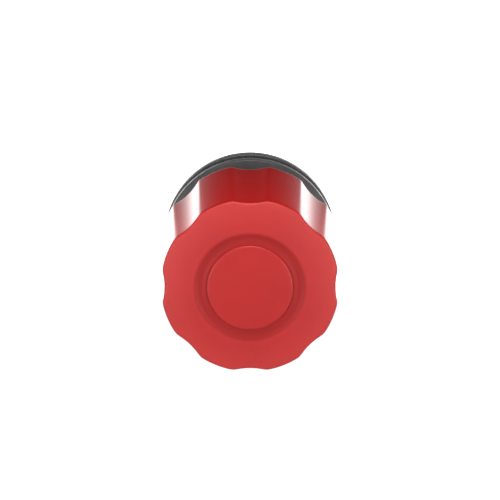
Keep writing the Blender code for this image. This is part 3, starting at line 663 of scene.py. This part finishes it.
def make_cap():
    """Domed centre disc with a crisp edge, in the face's ring groove."""
    centre, foot, hollow = 0.02 * MM, 5.0 * MM, 4.2 * MM
    back = -43.6 * MM
    step_y = back + 1.3 * MM
    radii = [(0.5 + step) * MM for step in range(8)] + [8.2 * MM]
    profile = [(centre, dome(0))] + [(radius, dome(radius)) for radius in radii]
    profile += [(CAP_RADIUS, dome(CAP_RADIUS), 0.7 * MM), (CAP_RADIUS, back), (foot, back),
                (foot, step_y), (hollow, step_y), (hollow, back), (centre, back)]
    mesh = turned("cap_disc", profile, 0.05 * MM, ring_shaped=False, sharp_degrees=60)
    place(make_object("cap_disc", mesh, cap_red()), "head", "cap_red", "knob_cap")


# ---------------------------------------------------------------- black rings and body

def make_bezel(look):
    """Front ring: crisp edge, and a front face that rises to the neck."""
    low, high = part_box("bezel_ring")
    inner, ridge, edge_y, fillet = 13.8 * MM, 14.6 * MM, low.y + 1.1 * MM, 0.3 * MM
    profile = [
        (inner, high.y), (inner, low.y, fillet), (ridge, low.y, fillet), (high.x, edge_y, fillet),
        (high.x, high.y, 0.7 * MM),
    ]
    bezel = make_object("bezel_front", turned("bezel_front", profile, 0.12 * MM), look)
    place(bezel, "housing", "bezel_black", "bezel_ring")


def make_collar(look):
    """Rear disc with a rounded rim, a gasket recess behind and the locating key."""
    low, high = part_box("mounting_collar")
    inner, recess_inner, recess_outer, recess_y = 11.3 * MM, 12.2 * MM, 17.9 * MM, -1.6 * MM
    profile = [
        (inner, low.y), (high.x, low.y, 0.3 * MM), (high.x, -GAP, 0.7 * MM), (recess_outer, -GAP),
        (recess_outer, recess_y), (recess_inner, recess_y), (recess_inner, -GAP), (inner, -GAP),
    ]
    collar = make_object("collar_rim", turned("collar_rim", profile, 0.1 * MM), look)
    key = box_mesh("key", (-1.5 * MM, -1.0 * MM, 11.4 * MM), (1.5 * MM, 2.0 * MM, 12.1 * MM))
    combine(collar, key, "UNION")
    place(collar, "housing", "body_black", "mounting_collar")


def thread_loops(radius, start, end, pitch, depth, angles):
    """Return loops of a right-hand thread on a cylinder, faded out at both ends."""
    per_pitch, flank, flat = 12, 2.6, 1.4
    count = round((end - start) / pitch * per_pitch)
    loops = []
    for number in range(count + 1):
        y = start + (end - start) * number / count
        fade = min(1.0, (y - start) / pitch, (end - y) / pitch)

        def radius_at(angle):
            phase = (y / pitch + angle / math.tau) % 1
            groove = max(0.0, 1 - abs(phase - 0.5) * flank)
            return radius - depth * min(1.0, groove * flat) * max(0.0, fade)
        loops.append(around(radius_at, y, angles))
    return loops


def make_body(look):
    """Operator body: neck with seal groove, flange, threaded barrel with two hook windows."""
    low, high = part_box("operator_body")
    flange, barrel, bore, bush = high.x, 11.0 * MM, 9.4 * MM, 6.9 * MM
    neck, neck_bore, seal_bottom = 13.5 * MM, 11.2 * MM, 12.6 * MM
    flange_front, flange_rear, web_front, web_rear = -5.6 * MM, -3.8 * MM, -9.0 * MM, -4.0 * MM
    seal_front, seal_rear = low.y + 0.9 * MM, low.y + 2.9 * MM
    waist, fillet, softened = neck - 0.25 * MM, 0.3 * MM, 0.1 * MM
    outside = [
        (neck_bore, low.y), (neck, low.y, 0.4 * MM), (neck, seal_front), (seal_bottom, seal_front),
        (seal_bottom, seal_rear), (neck, seal_rear), (neck, low.y + 6.0 * MM),
        (waist, low.y + 6.3 * MM), (waist, low.y + 7.0 * MM), (neck, low.y + 7.3 * MM),
        (neck, flange_front, fillet), (flange, flange_front, fillet), (flange, flange_rear, fillet),
        (barrel, flange_rear), (barrel, 0.4 * MM),
    ]
    inside = [
        (barrel, high.y - 0.65 * MM), (barrel - 0.6 * MM, high.y), (bore, high.y), (bore, web_rear),
        (bush, web_rear), (bush, web_front), (neck_bore, web_front),
    ]
    angles = even_angles(AXIS_STEPS)
    loops = rings(rounded(outside, softened, closed=False), angles)
    thread_start, thread_end, pitch, depth = 0.5 * MM, high.y - 0.7 * MM, 1.5 * MM, 0.75 * MM
    loops += thread_loops(barrel, thread_start, thread_end, pitch, depth, angles)
    loops += rings(rounded(inside, softened, closed=False), angles)
    body = make_object("body_shell", skin("body_shell", loops), look)
    front, rear, half = 14.4 * MM, 16.6 * MM, 2.2 * MM
    for side, _ in SIDES:
        x_low, x_high = sorted((side * 8.6 * MM, side * 12.0 * MM))
        combine(body, box_mesh("window", (x_low, front, -half), (x_high, rear, half)))
    smooth(body.data)
    place(body, "housing", "body_black", "operator_body")


def make_seals(look):
    """Panel gasket with two sealing beads, and the lip seal on the neck."""
    low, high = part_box("panel_gasket")
    inner, outer, hollow, bead = 12.5 * MM, high.x, -0.25 * MM, 0.3 * MM
    profile = [
        (inner, low.y), (outer, low.y), (outer, hollow), (outer - 0.5 * MM, 0, bead),
        (outer - 1.1 * MM, 0, bead), (outer - 1.5 * MM, hollow), (inner + 1.7 * MM, hollow),
        (inner + 1.3 * MM, 0, bead), (inner + 0.7 * MM, 0, bead), (inner, hollow),
    ]
    gasket = make_object("gasket_ring", turned("gasket_ring", profile, 0.1 * MM), look)
    place(gasket, "housing", "seal_rubber", "panel_gasket")

    low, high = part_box("skirt_seal")
    inner, start, bend, tip = 12.9 * MM, low.y + 1.1 * MM, 0.5 * MM, 0.15 * MM
    profile = [
        (inner, start), (14.5 * MM, start, bend), (16.3 * MM, low.y, tip),
        (high.x, low.y + 0.4 * MM, tip), (15.0 * MM, high.y, bend), (inner, high.y),
    ]
    seal = make_object("seal_lip", turned("seal_lip", profile, 0.1 * MM), look)
    place(seal, "housing", "seal_rubber", "skirt_seal")


def make_washer(look):
    """Toothed washer with bent teeth."""
    low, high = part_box("lock_washer")
    teeth, steps_per_tooth = 12, 12
    inner, outer, root = 11.3 * MM, high.x, high.x - 1.0 * MM
    thickness = high.y - low.y
    front, rear, bend = low.y + thickness * 0.2, high.y - thickness * 0.2, thickness * 0.3
    angles = even_angles(teeth * steps_per_tooth)

    def tooth_share(angle):
        """Return the place across a tooth from 0 to 1; it is above 1 between the teeth."""
        return (angle * teeth / math.tau) % 1 * 2

    def outer_at(angle):
        return outer if tooth_share(angle) < 1 else root

    def bent(level):
        """Return y around the washer at a level, with each tooth twisted."""
        def y_at(angle):
            share = tooth_share(angle)
            return level + (share - 0.5) * bend if share < 1 else level
        return y_at
    loops = rings([(inner, front), (root - 0.3 * MM, front)], angles)
    loops += [around(outer_at, bent(front), angles), around(outer_at, bent(rear), angles)]
    loops += rings([(root - 0.3 * MM, rear), (inner, rear)], angles)
    washer = make_object("washer_toothed", skin("washer_toothed", loops, sharp_degrees=30), look)
    soften(washer, 0.06 * MM, 1)
    place(washer, "housing", "steel", "lock_washer")


def make_nut(look):
    """Ring nut: hexagonal grip with chamfered corners and a round flange."""
    low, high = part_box("ring_nut")
    inner, flange, chamfer = 11.15 * MM, high.x, 0.5 * MM
    grip_start = low.y + 1.2 * MM
    corner = flange / math.cos(math.pi / 6)
    angles = even_angles(AXIS_STEPS * 3 // 2)
    loops = rings([
        (inner + chamfer, low.y), (flange - 0.25 * MM, low.y), (flange - 0.07 * MM, low.y + 0.07 * MM),
        (flange, low.y + 0.25 * MM), (flange, grip_start - 0.05 * MM)], angles)
    # each level of the grip is a rise behind the flange and a cut into the corners, in mm
    levels = [(0.0, 1.3), (0.25, 0.75), (0.6, 0.45), (2.9, 0.4), (3.3, 0.6), (3.6, 1.1), (3.8, 1.9)]
    for rise, cut in levels:
        limit = corner - cut * MM
        loops.append(around(lambda a: hexagon(a, flange, limit), grip_start + rise * MM, angles))
    bore = [(inner + chamfer, high.y), (inner, high.y - chamfer), (inner, low.y + chamfer)]
    loops += rings(bore, angles)
    nut = make_object("nut_grip", skin("nut_grip", loops, sharp_degrees=25), look)
    place(nut, "housing", "nut_grey", "ring_nut")


# ---------------------------------------------------------------- contact block

def make_case(look):
    """Contact block's case: spigot with hooks, and a case with a shoulder and fine grip ribs."""
    low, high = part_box("contact_housing")
    outer, spigot, bore, spigot_bore = high.x, 9.1 * MM, 9.4 * MM, 7.8 * MM
    shoulder, ledge, boss_start = 18.3 * MM, 24.7 * MM, 24.5 * MM
    rib_start, rib_end, run_out = shoulder + 1.6 * MM, high.y - 2.2 * MM, 0.4 * MM
    ribs, depth, softened = 32, 0.22 * MM, 0.1 * MM
    angles = even_angles(AXIS_STEPS * 2)

    def ribbed(angle, strength):
        wave = 0.5 + 0.5 * math.cos(angle * ribs)
        return outer - depth * strength * (1 - smooth_step(wave * 1.6))
    front = [(spigot_bore, low.y), (spigot, low.y, 0.3 * MM), (spigot, shoulder),
             (outer, shoulder, 0.3 * MM), (outer, shoulder + 1.4 * MM)]
    back = [(outer, high.y - 2.0 * MM), (outer, high.y, 0.2 * MM), (bore, high.y), (bore, ledge),
            (spigot_bore, ledge)]
    loops = rings(rounded(front, softened, closed=False), angles)
    for y, strength in ((rib_start, 0), (rib_start + run_out, 1), ((rib_start + rib_end) / 2, 1),
                        (rib_end - run_out, 1), (rib_end, 0)):
        loops.append(around(lambda a: ribbed(a, strength), y, angles))
    loops += rings(rounded(back, softened, closed=False), angles)
    case = make_object("block_case", skin("block_case", loops), look)
    hook = ((8.5, 14.8), (9.4, 14.8), (10.6, 15.9), (10.6, 16.2), (8.5, 16.2))
    half_slot, slot_start, slot_end, half_hook = 1.5 * MM, 9.0 * MM, 21.3 * MM, 1.9 * MM
    for side, _ in SIDES:
        z_low, z_high = sorted((side * 7.0 * MM, side * 9.05 * MM))
        combine(case, box_mesh("slot", (-half_slot, slot_start, z_low), (half_slot, slot_end, z_high)))
        outline = [(side * x * MM, y * MM) for x, y in hook]
        combine(case, prism("hook", outline, "Z", -half_hook, half_hook), "UNION")
        z = side * COVER_SCREW_Z
        combine(case, rod_mesh("boss", 1.9 * MM, (0, boss_start, z), (0, high.y, z)), "UNION")
        combine(case, rod_mesh("pilot", 1.1 * MM, (0, 30 * MM, z), (0, 40 * MM, z), sides=20))
    smooth(case.data, 35)
    place(case, "housing", "body_black", "contact_housing")


def make_cover(look):
    """Rear cover with tab slots, screw holes, a raised rim and a barrier between the tabs."""
    low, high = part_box("rear_cover")
    centre, rim, plate_y = 0.02 * MM, high.x, high.y - 0.25 * MM
    profile = [(centre, low.y), (rim, low.y), (rim, high.y, 0.4 * MM),
               (rim - 0.9 * MM, high.y, 0.1 * MM), (rim - 1.1 * MM, plate_y), (centre, plate_y)]
    mesh = turned("cover_plate", profile, 0.1 * MM, ring_shaped=False)
    cover = make_object("cover_plate", mesh, look)
    before, behind, half = 37 * MM, 42 * MM, 1.6 * MM
    for side, _ in SIDES:
        x_low, x_high = sorted((side * 6.4 * MM, side * 7.6 * MM))
        for z in (CONTACT_Z, -CONTACT_Z):
            combine(cover, box_mesh("slot", (x_low, before, z - half), (x_high, behind, z + half)))
        z = side * COVER_SCREW_Z
        combine(cover, rod_mesh("hole", 1.2 * MM, (0, before, z), (0, behind, z)))
    wide, thick = 8.6 * MM, 0.4 * MM
    barrier = box_mesh("barrier", (-wide, high.y - 0.6 * MM, -thick), (wide, high.y, thick))
    combine(cover, barrier, "UNION")
    soften(cover, 0.07 * MM)
    place(cover, "housing", "nut_grey", "rear_cover")


def make_terminal(node, side, z, look):
    """Fixed contact strip whose tab has a lead-in and a latching hole."""
    low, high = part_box(node)
    inner, strip, strip_outer, tab_outer = 3.9 * MM, 6.7 * MM, 7.1 * MM, 7.3 * MM
    bend_y, tab_start, hole_y = low.y + 0.8 * MM, high.y - 4.2 * MM, high.y - 2.2 * MM
    outline = [(inner, low.y), (strip_outer, low.y), (strip_outer, tab_start), (tab_outer, tab_start),
               (tab_outer, high.y), (strip, high.y), (strip, bend_y), (inner, bend_y)]
    half = (high.z - low.z) / 2
    name = node.replace("terminal", "tab")
    mesh = prism(name, [(side * x, y) for x, y in outline], "Z", z - half, z + half)
    tab = make_object(name, mesh, look)
    x_low, x_high = sorted((side * 6.0 * MM, side * 8.0 * MM))
    past, lead_y, lead_z = 0.2 * MM, 0.9 * MM, 0.6 * MM
    for end in (-1, 1):
        outside_z = z + end * (half + past)
        corner = [(high.y - lead_y, outside_z), (high.y + past, outside_z),
                  (high.y + past, z + end * (half - lead_z))]
        combine(tab, prism("corner", corner, "X", x_low, x_high))
    combine(tab, rod_mesh("hole", 0.6 * MM, (x_low, hole_y, z), (x_high, hole_y, z)))
    soften(tab, 0.08 * MM)
    place(tab, "housing", "contact_metal", node)


def make_screw(node, z, look):
    """Pan-head screw with a cross recess."""
    low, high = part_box(node)
    centre, core, seat = 0.02 * MM, 0.8 * MM, 40.8 * MM
    profile = [(centre, low.y), (0.5 * MM, low.y), (core, low.y + 0.6 * MM), (core, seat),
               (SCREW_HEAD, seat), (SCREW_HEAD, seat + 0.5 * MM, 0.4 * MM), (1.2 * MM, high.y, 0.5 * MM),
               (centre, high.y)]
    name = node.replace("cover_screw", "screw")
    mesh = turned(name, profile, 0.05 * MM, SMALL_STEPS, ring_shaped=False)
    mesh.transform(Matrix.Translation((0, 0, z)))
    screw = make_object(name, mesh, look)
    slot_bottom, above, long, thin = high.y - 0.7 * MM, high.y + 1 * MM, 1.1 * MM, 0.17 * MM
    for wide, tall in ((long, thin), (thin, long)):
        combine(screw, box_mesh("cross", (-wide, slot_bottom, z - tall), (wide, above, z + tall)))
    smooth(screw.data, 35)
    place(screw, "housing", "steel", node)


# ---------------------------------------------------------------- springs and shaft

def coil_mesh(name, radius, wire, start, end, turns, dead_turns):
    """Make a compression spring along a line, with closed coils at both ends."""
    per_turn, wire_sides, closed_pitch = 28, 10, 2.05
    start, end = Vector(start), Vector(end)
    along = (end - start).normalized()
    side = along.orthogonal().normalized()
    up = along.cross(side)
    length = (end - start).length - 2 * wire
    total = turns + 2 * dead_turns
    steps = round(total * per_turn)
    closed_rise = dead_turns * wire * closed_pitch
    centres = []
    for number in range(steps + 1):
        turn = total * number / steps
        if turn < dead_turns:
            rise = closed_rise * turn / dead_turns
        elif turn > total - dead_turns:
            rise = length - closed_rise * (total - turn) / dead_turns
        else:
            rise = closed_rise + (length - 2 * closed_rise) * (turn - dead_turns) / turns
        angle = math.tau * turn
        around_axis = side * math.cos(angle) + up * math.sin(angle)
        centres.append(start + along * (wire + rise) + around_axis * radius)
    corners = even_angles(wire_sides)
    loops = []
    for number, point in enumerate(centres):
        before, after = centres[max(number - 1, 0)], centres[min(number + 1, steps)]
        tangent = (after - before).normalized()
        out = along.cross(tangent).normalized()
        rise = tangent.cross(out)
        loops.append([point + (out * math.cos(a) + rise * math.sin(a)) * wire for a in corners])
    return skin(name, loops, ring_shaped=False, sharp_degrees=60)


def make_spring(name, node, body, look, radius, wire, start, end, turns):
    """Spring that rides on a body with a mesh of its own, standing for its CAD node."""
    mesh = coil_mesh(name, radius, wire, start, end, turns, dead_turns=0.8)
    spring = make_object(name, mesh, look)
    place(spring, body, "spring_steel", node)
    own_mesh(spring)


def make_springs(look):
    """Compression springs, each riding on its body; the last one rides on the plunger."""
    make_spring(
        "spring_return", "return_spring", "housing", look, radius=5.2 * MM, wire=0.5 * MM,
        start=(0, -23.7 * MM, 0), end=(0, -10.6 * MM, 0), turns=4.2)
    make_spring(
        "spring_plunger", "carrier_spring", "housing", look, radius=1.1 * MM, wire=0.2 * MM,
        start=(0, 27.3 * MM, 0), end=(0, 38.2 * MM, 0), turns=6)
    contact_radius, contact_wire = 0.85 * MM, 0.17 * MM
    make_spring(
        "spring_no", "no_spring", "no_contact", look, contact_radius, contact_wire,
        start=(0, 24.7 * MM, -CONTACT_Z), end=(0, 29.5 * MM, -CONTACT_Z), turns=3.5)
    for side, word in SIDES:
        make_spring(
            f"spring_pawl_{word}", f"pawl_spring_{word}", "housing", look,
            radius=0.75 * MM, wire=0.13 * MM, start=(side * 5.7 * MM, 5.2 * MM, 0),
            end=(side * 9.1 * MM, 5.2 * MM, 0), turns=4)
    coil = coil_mesh("spring_nc", contact_radius, contact_wire, (0, 27.7 * MM, CONTACT_Z),
                     (0, 31.0 * MM, CONTACT_Z), turns=3, dead_turns=0.6)
    place(make_object("spring_nc", coil, look), "plunger", "spring_steel", "nc_spring")


def make_shaft(look):
    """Shaft with hexagon, journal, latch cone and clip groove."""
    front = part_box("shaft")[0].y
    bore, apothem, corner, softened = 2.3 * MM, 3.2 * MM, 3.62 * MM, 0.08 * MM
    bore_y, hexagon_end, chamfer = -29.5 * MM, -23.0 * MM, 0.4 * MM
    round_part = [
        (3.4, -23.0), (3.4, -0.3), (4.8, -0.3), (4.8, 0.1), (3.6, 5.2), (3.6, 11.6), (2.6, 11.6),
        (2.6, 14.5), (2.0, 14.5), (2.0, 15.5), (2.6, 15.5), (2.6, 16.2), (2.2, 16.6)]
    angles = even_angles(AXIS_STEPS * 3 // 4)
    loops = rings([(bore, bore_y), (bore, front + 0.3 * MM), (bore + 0.3 * MM, front)], angles)
    loops.append(around(lambda a: hexagon(a, apothem, 3.3 * MM), front, angles))
    for y in (front + chamfer, hexagon_end):
        loops.append(around(lambda a: hexagon(a, apothem, corner), y, angles))
    profile = [(radius * MM, y * MM) for radius, y in round_part]
    loops += rings(rounded(profile, softened, closed=False), angles)
    mesh = skin("shaft_turned", loops, ring_shaped=False, sharp_degrees=30)
    place(make_object("shaft_turned", mesh, look), "head", "steel", "shaft")


# ---------------------------------------------------------------- the setting

def glow(name, strength, base=0.1):
    """Return a pale material that also gives off white light."""
    material = bpy.data.materials.new(name)
    material.use_nodes = True
    shader = material.node_tree.nodes["Principled BSDF"]
    shader.inputs["Base Color"].default_value = (base, base, base, 1)
    shader.inputs["Roughness"].default_value = 0.9
    shader.inputs["Specular IOR Level"].default_value = 0
    shader.inputs["Emission Color"].default_value = (1, 1, 1, 1)
    shader.inputs["Emission Strength"].default_value = strength
    return material


def fade_glow(material, axis, start, stop, first, last, power=1):
    """Let a glow go from a first to a last strength along an axis; a higher power falls off sooner."""
    tree = material.node_tree
    along = axis_value(tree, "Object", axis)
    share = map_range(tree, along, start, stop, 1, 0, "SMOOTHSTEP" if power == 1 else "LINEAR")
    curve = math_node(tree, "POWER", share)
    curve.inputs[1].default_value = power
    strength = map_range(tree, curve.outputs["Value"], 0, 1, last, first)
    tree.links.new(strength, tree.nodes["Principled BSDF"].inputs["Emission Strength"])


def make_sheet(name, points, look):
    """Make a sheet that is straight along X and follows (y, z) points."""
    half_width = 1.5
    bm = bmesh.new()
    lines = [[bm.verts.new((x, y, z)) for x in (-half_width, half_width)] for y, z in points]
    for first, second in zip(lines, lines[1:]):
        bm.faces.new((first[0], first[1], second[1], second[0]))
    mesh = bpy.data.meshes.new(name)
    bm.to_mesh(mesh)
    bm.free()
    sheet = make_object(name, mesh, look)
    sheet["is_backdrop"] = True


def make_stage():
    """Glowing floor that is dimmer in front, and a bright sweep far behind that darkens upwards."""
    floor_z, front, joint, far, top = -80 * MM, -1.5, 0.25, 1.5, 0.80
    dim_until, bright_from = -0.08, 0.03
    floor_look = glow("floor_white", FLOOR_GLOW)
    fade_glow(floor_look, "Y", dim_until, bright_from, FRONT_GLOW, FLOOR_GLOW)
    make_sheet("floor", [(front, floor_z), (joint, floor_z)], floor_look)
    sweep_look = glow("sweep_white", SWEEP_GLOW, base=0.02)
    fade_glow(sweep_look, "Z", 0.0, top, SWEEP_GLOW, 0, SWEEP_FADE)
    make_sheet("sweep", [(joint, floor_z), (far * 0.8, floor_z), (far * 0.95, floor_z + 0.02),
                         (far, floor_z + 0.08), (far, top)], sweep_look)


def add_light(name, place_at, size, radiance):
    """Add a rectangular soft light of a given brightness that looks at the knob."""
    aim = Vector((0, -0.02, 0))
    data = bpy.data.lights.new(name, "AREA")
    data.shape = "RECTANGLE"
    data.size, data.size_y = size
    data.energy = radiance * math.pi * size[0] * size[1]
    light = bpy.data.objects.new(name, data)
    bpy.context.scene.collection.objects.link(light)
    light.location = place_at
    light.rotation_euler = (aim - Vector(place_at)).to_track_quat("-Z", "Y").to_euler()


def make_lights():
    """Soft panels: above the front, overhead, at each side, and low ones before the flanks."""
    add_light("key", (0.0, -0.80, 0.75), (0.9, 0.5), KEY)
    add_light("top", (0.0, -0.20, 0.90), (0.6, 0.6), TOP)
    for side, word in SIDES:
        add_light(word, (side * 0.48, -0.60, 0.0), (0.4, 0.4), SIDE)
    for side, word in SIDES:
        add_light(f"low_{word}", (side * 0.25, -0.38, -0.04), (0.22, 0.07), LOW)


def make_world():
    """Surroundings: pale in front and at the sides, nearly black above and behind."""
    world = bpy.data.worlds.new("studio")
    bpy.context.scene.world = world
    world.use_nodes = True
    tree = world.node_tree
    background = tree.nodes["Background"]
    background.inputs["Color"].default_value = (1, 1, 1, 1)
    along = axis_value(tree, "Generated", "Y")
    aside = math_node(tree, "ABSOLUTE", axis_value(tree, "Generated", "X")).outputs["Value"]
    pale_until, painted_shade_from, side_from, side_full = -0.5, 0.1, 0.85, 0.97
    front = map_range(tree, along, pale_until, painted_shade_from, FRONT_WORLD, WORLD_GLOW, "SMOOTHSTEP")
    sides = map_range(tree, aside, side_from, side_full, WORLD_GLOW, SIDE_WORLD, "SMOOTHSTEP")
    brightest = math_node(tree, "MAXIMUM", front)
    tree.links.new(sides, brightest.inputs[1])
    tree.links.new(brightest.outputs["Value"], background.inputs["Strength"])


def make_camera():
    """Camera in front of the knob, a little above its axis."""
    elevation, distance = math.radians(14.5), 0.5
    middle, rise = Vector((0, -15 * MM, 0)), 0.275 * MM
    back = Vector((0, -math.cos(elevation), math.sin(elevation)))
    up = Vector((0, math.sin(elevation), math.cos(elevation)))
    data = bpy.data.cameras.new("camera")
    data.lens, data.sensor_width = 164.2, 36
    data.clip_start, data.clip_end = 0.01, 20
    camera = bpy.data.objects.new("camera", data)
    bpy.context.scene.collection.objects.link(camera)
    camera.location = middle + back * distance + up * rise
    camera.rotation_mode = "QUATERNION"
    camera.rotation_quaternion = (-back).to_track_quat("-Z", "Y")
    bpy.context.scene.camera = camera
    bpy.context.scene.view_settings.view_transform = "Standard"


def paint(look, *nodes):
    """Give carried-over CAD nodes a better material."""
    for node in nodes:
        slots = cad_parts[node].data.materials
        slots.clear()
        slots.append(look)


def main():
    """Build every visible piece around the frame, then the setting."""
    make_camera()
    moulded = black_plastic("black_moulded", (0.022, 0.022, 0.022), 0.42)
    bezel_black = black_plastic("bezel_satin", (0.042, 0.040, 0.039), 0.36, 0.010 * MM)
    collar_black = black_plastic("collar_satin", (0.050, 0.050, 0.049), 0.28, 0.004 * MM)
    grey = black_plastic("grey_moulded", (0.045, 0.046, 0.048), 0.48)
    seal, steel, wire, strip, cream = rubber(), zinc_steel(), spring_wire(), contact_metal(), acetal()

    make_knob()
    make_cap()
    make_bezel(bezel_black)
    make_collar(collar_black)
    make_body(moulded)
    make_seals(seal)
    make_washer(steel)
    make_nut(grey)
    make_case(moulded)
    make_cover(grey)
    for side, word in SIDES:
        make_terminal(f"terminal_nc_{word}", side, CONTACT_Z, strip)
        make_terminal(f"terminal_no_{word}", side, -CONTACT_Z, strip)
    make_screw("cover_screw_top", COVER_SCREW_Z, steel)
    make_screw("cover_screw_bottom", -COVER_SCREW_Z, steel)
    make_shaft(steel)
    make_springs(wire)

    paint(steel, "knob_screw", "shaft_clip", "latch_cover", "latch_pawl_left", "latch_pawl_right")
    paint(wire, "twist_spring")
    paint(cream, "guide_bush", "latch_carrier", "slider")
    paint(seal, "shaft_seal")
    paint(strip, "nc_bridge", "no_bridge")
    paint(green_plastic(), "contact_carrier")

    make_stage()
    make_lights()
    make_world()


def corners(bounds):
    """Return a box as plain lists."""
    return [list(corner) for corner in bounds]


main()
{"cad": corners(CAD_BOX), "visual": corners(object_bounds())}
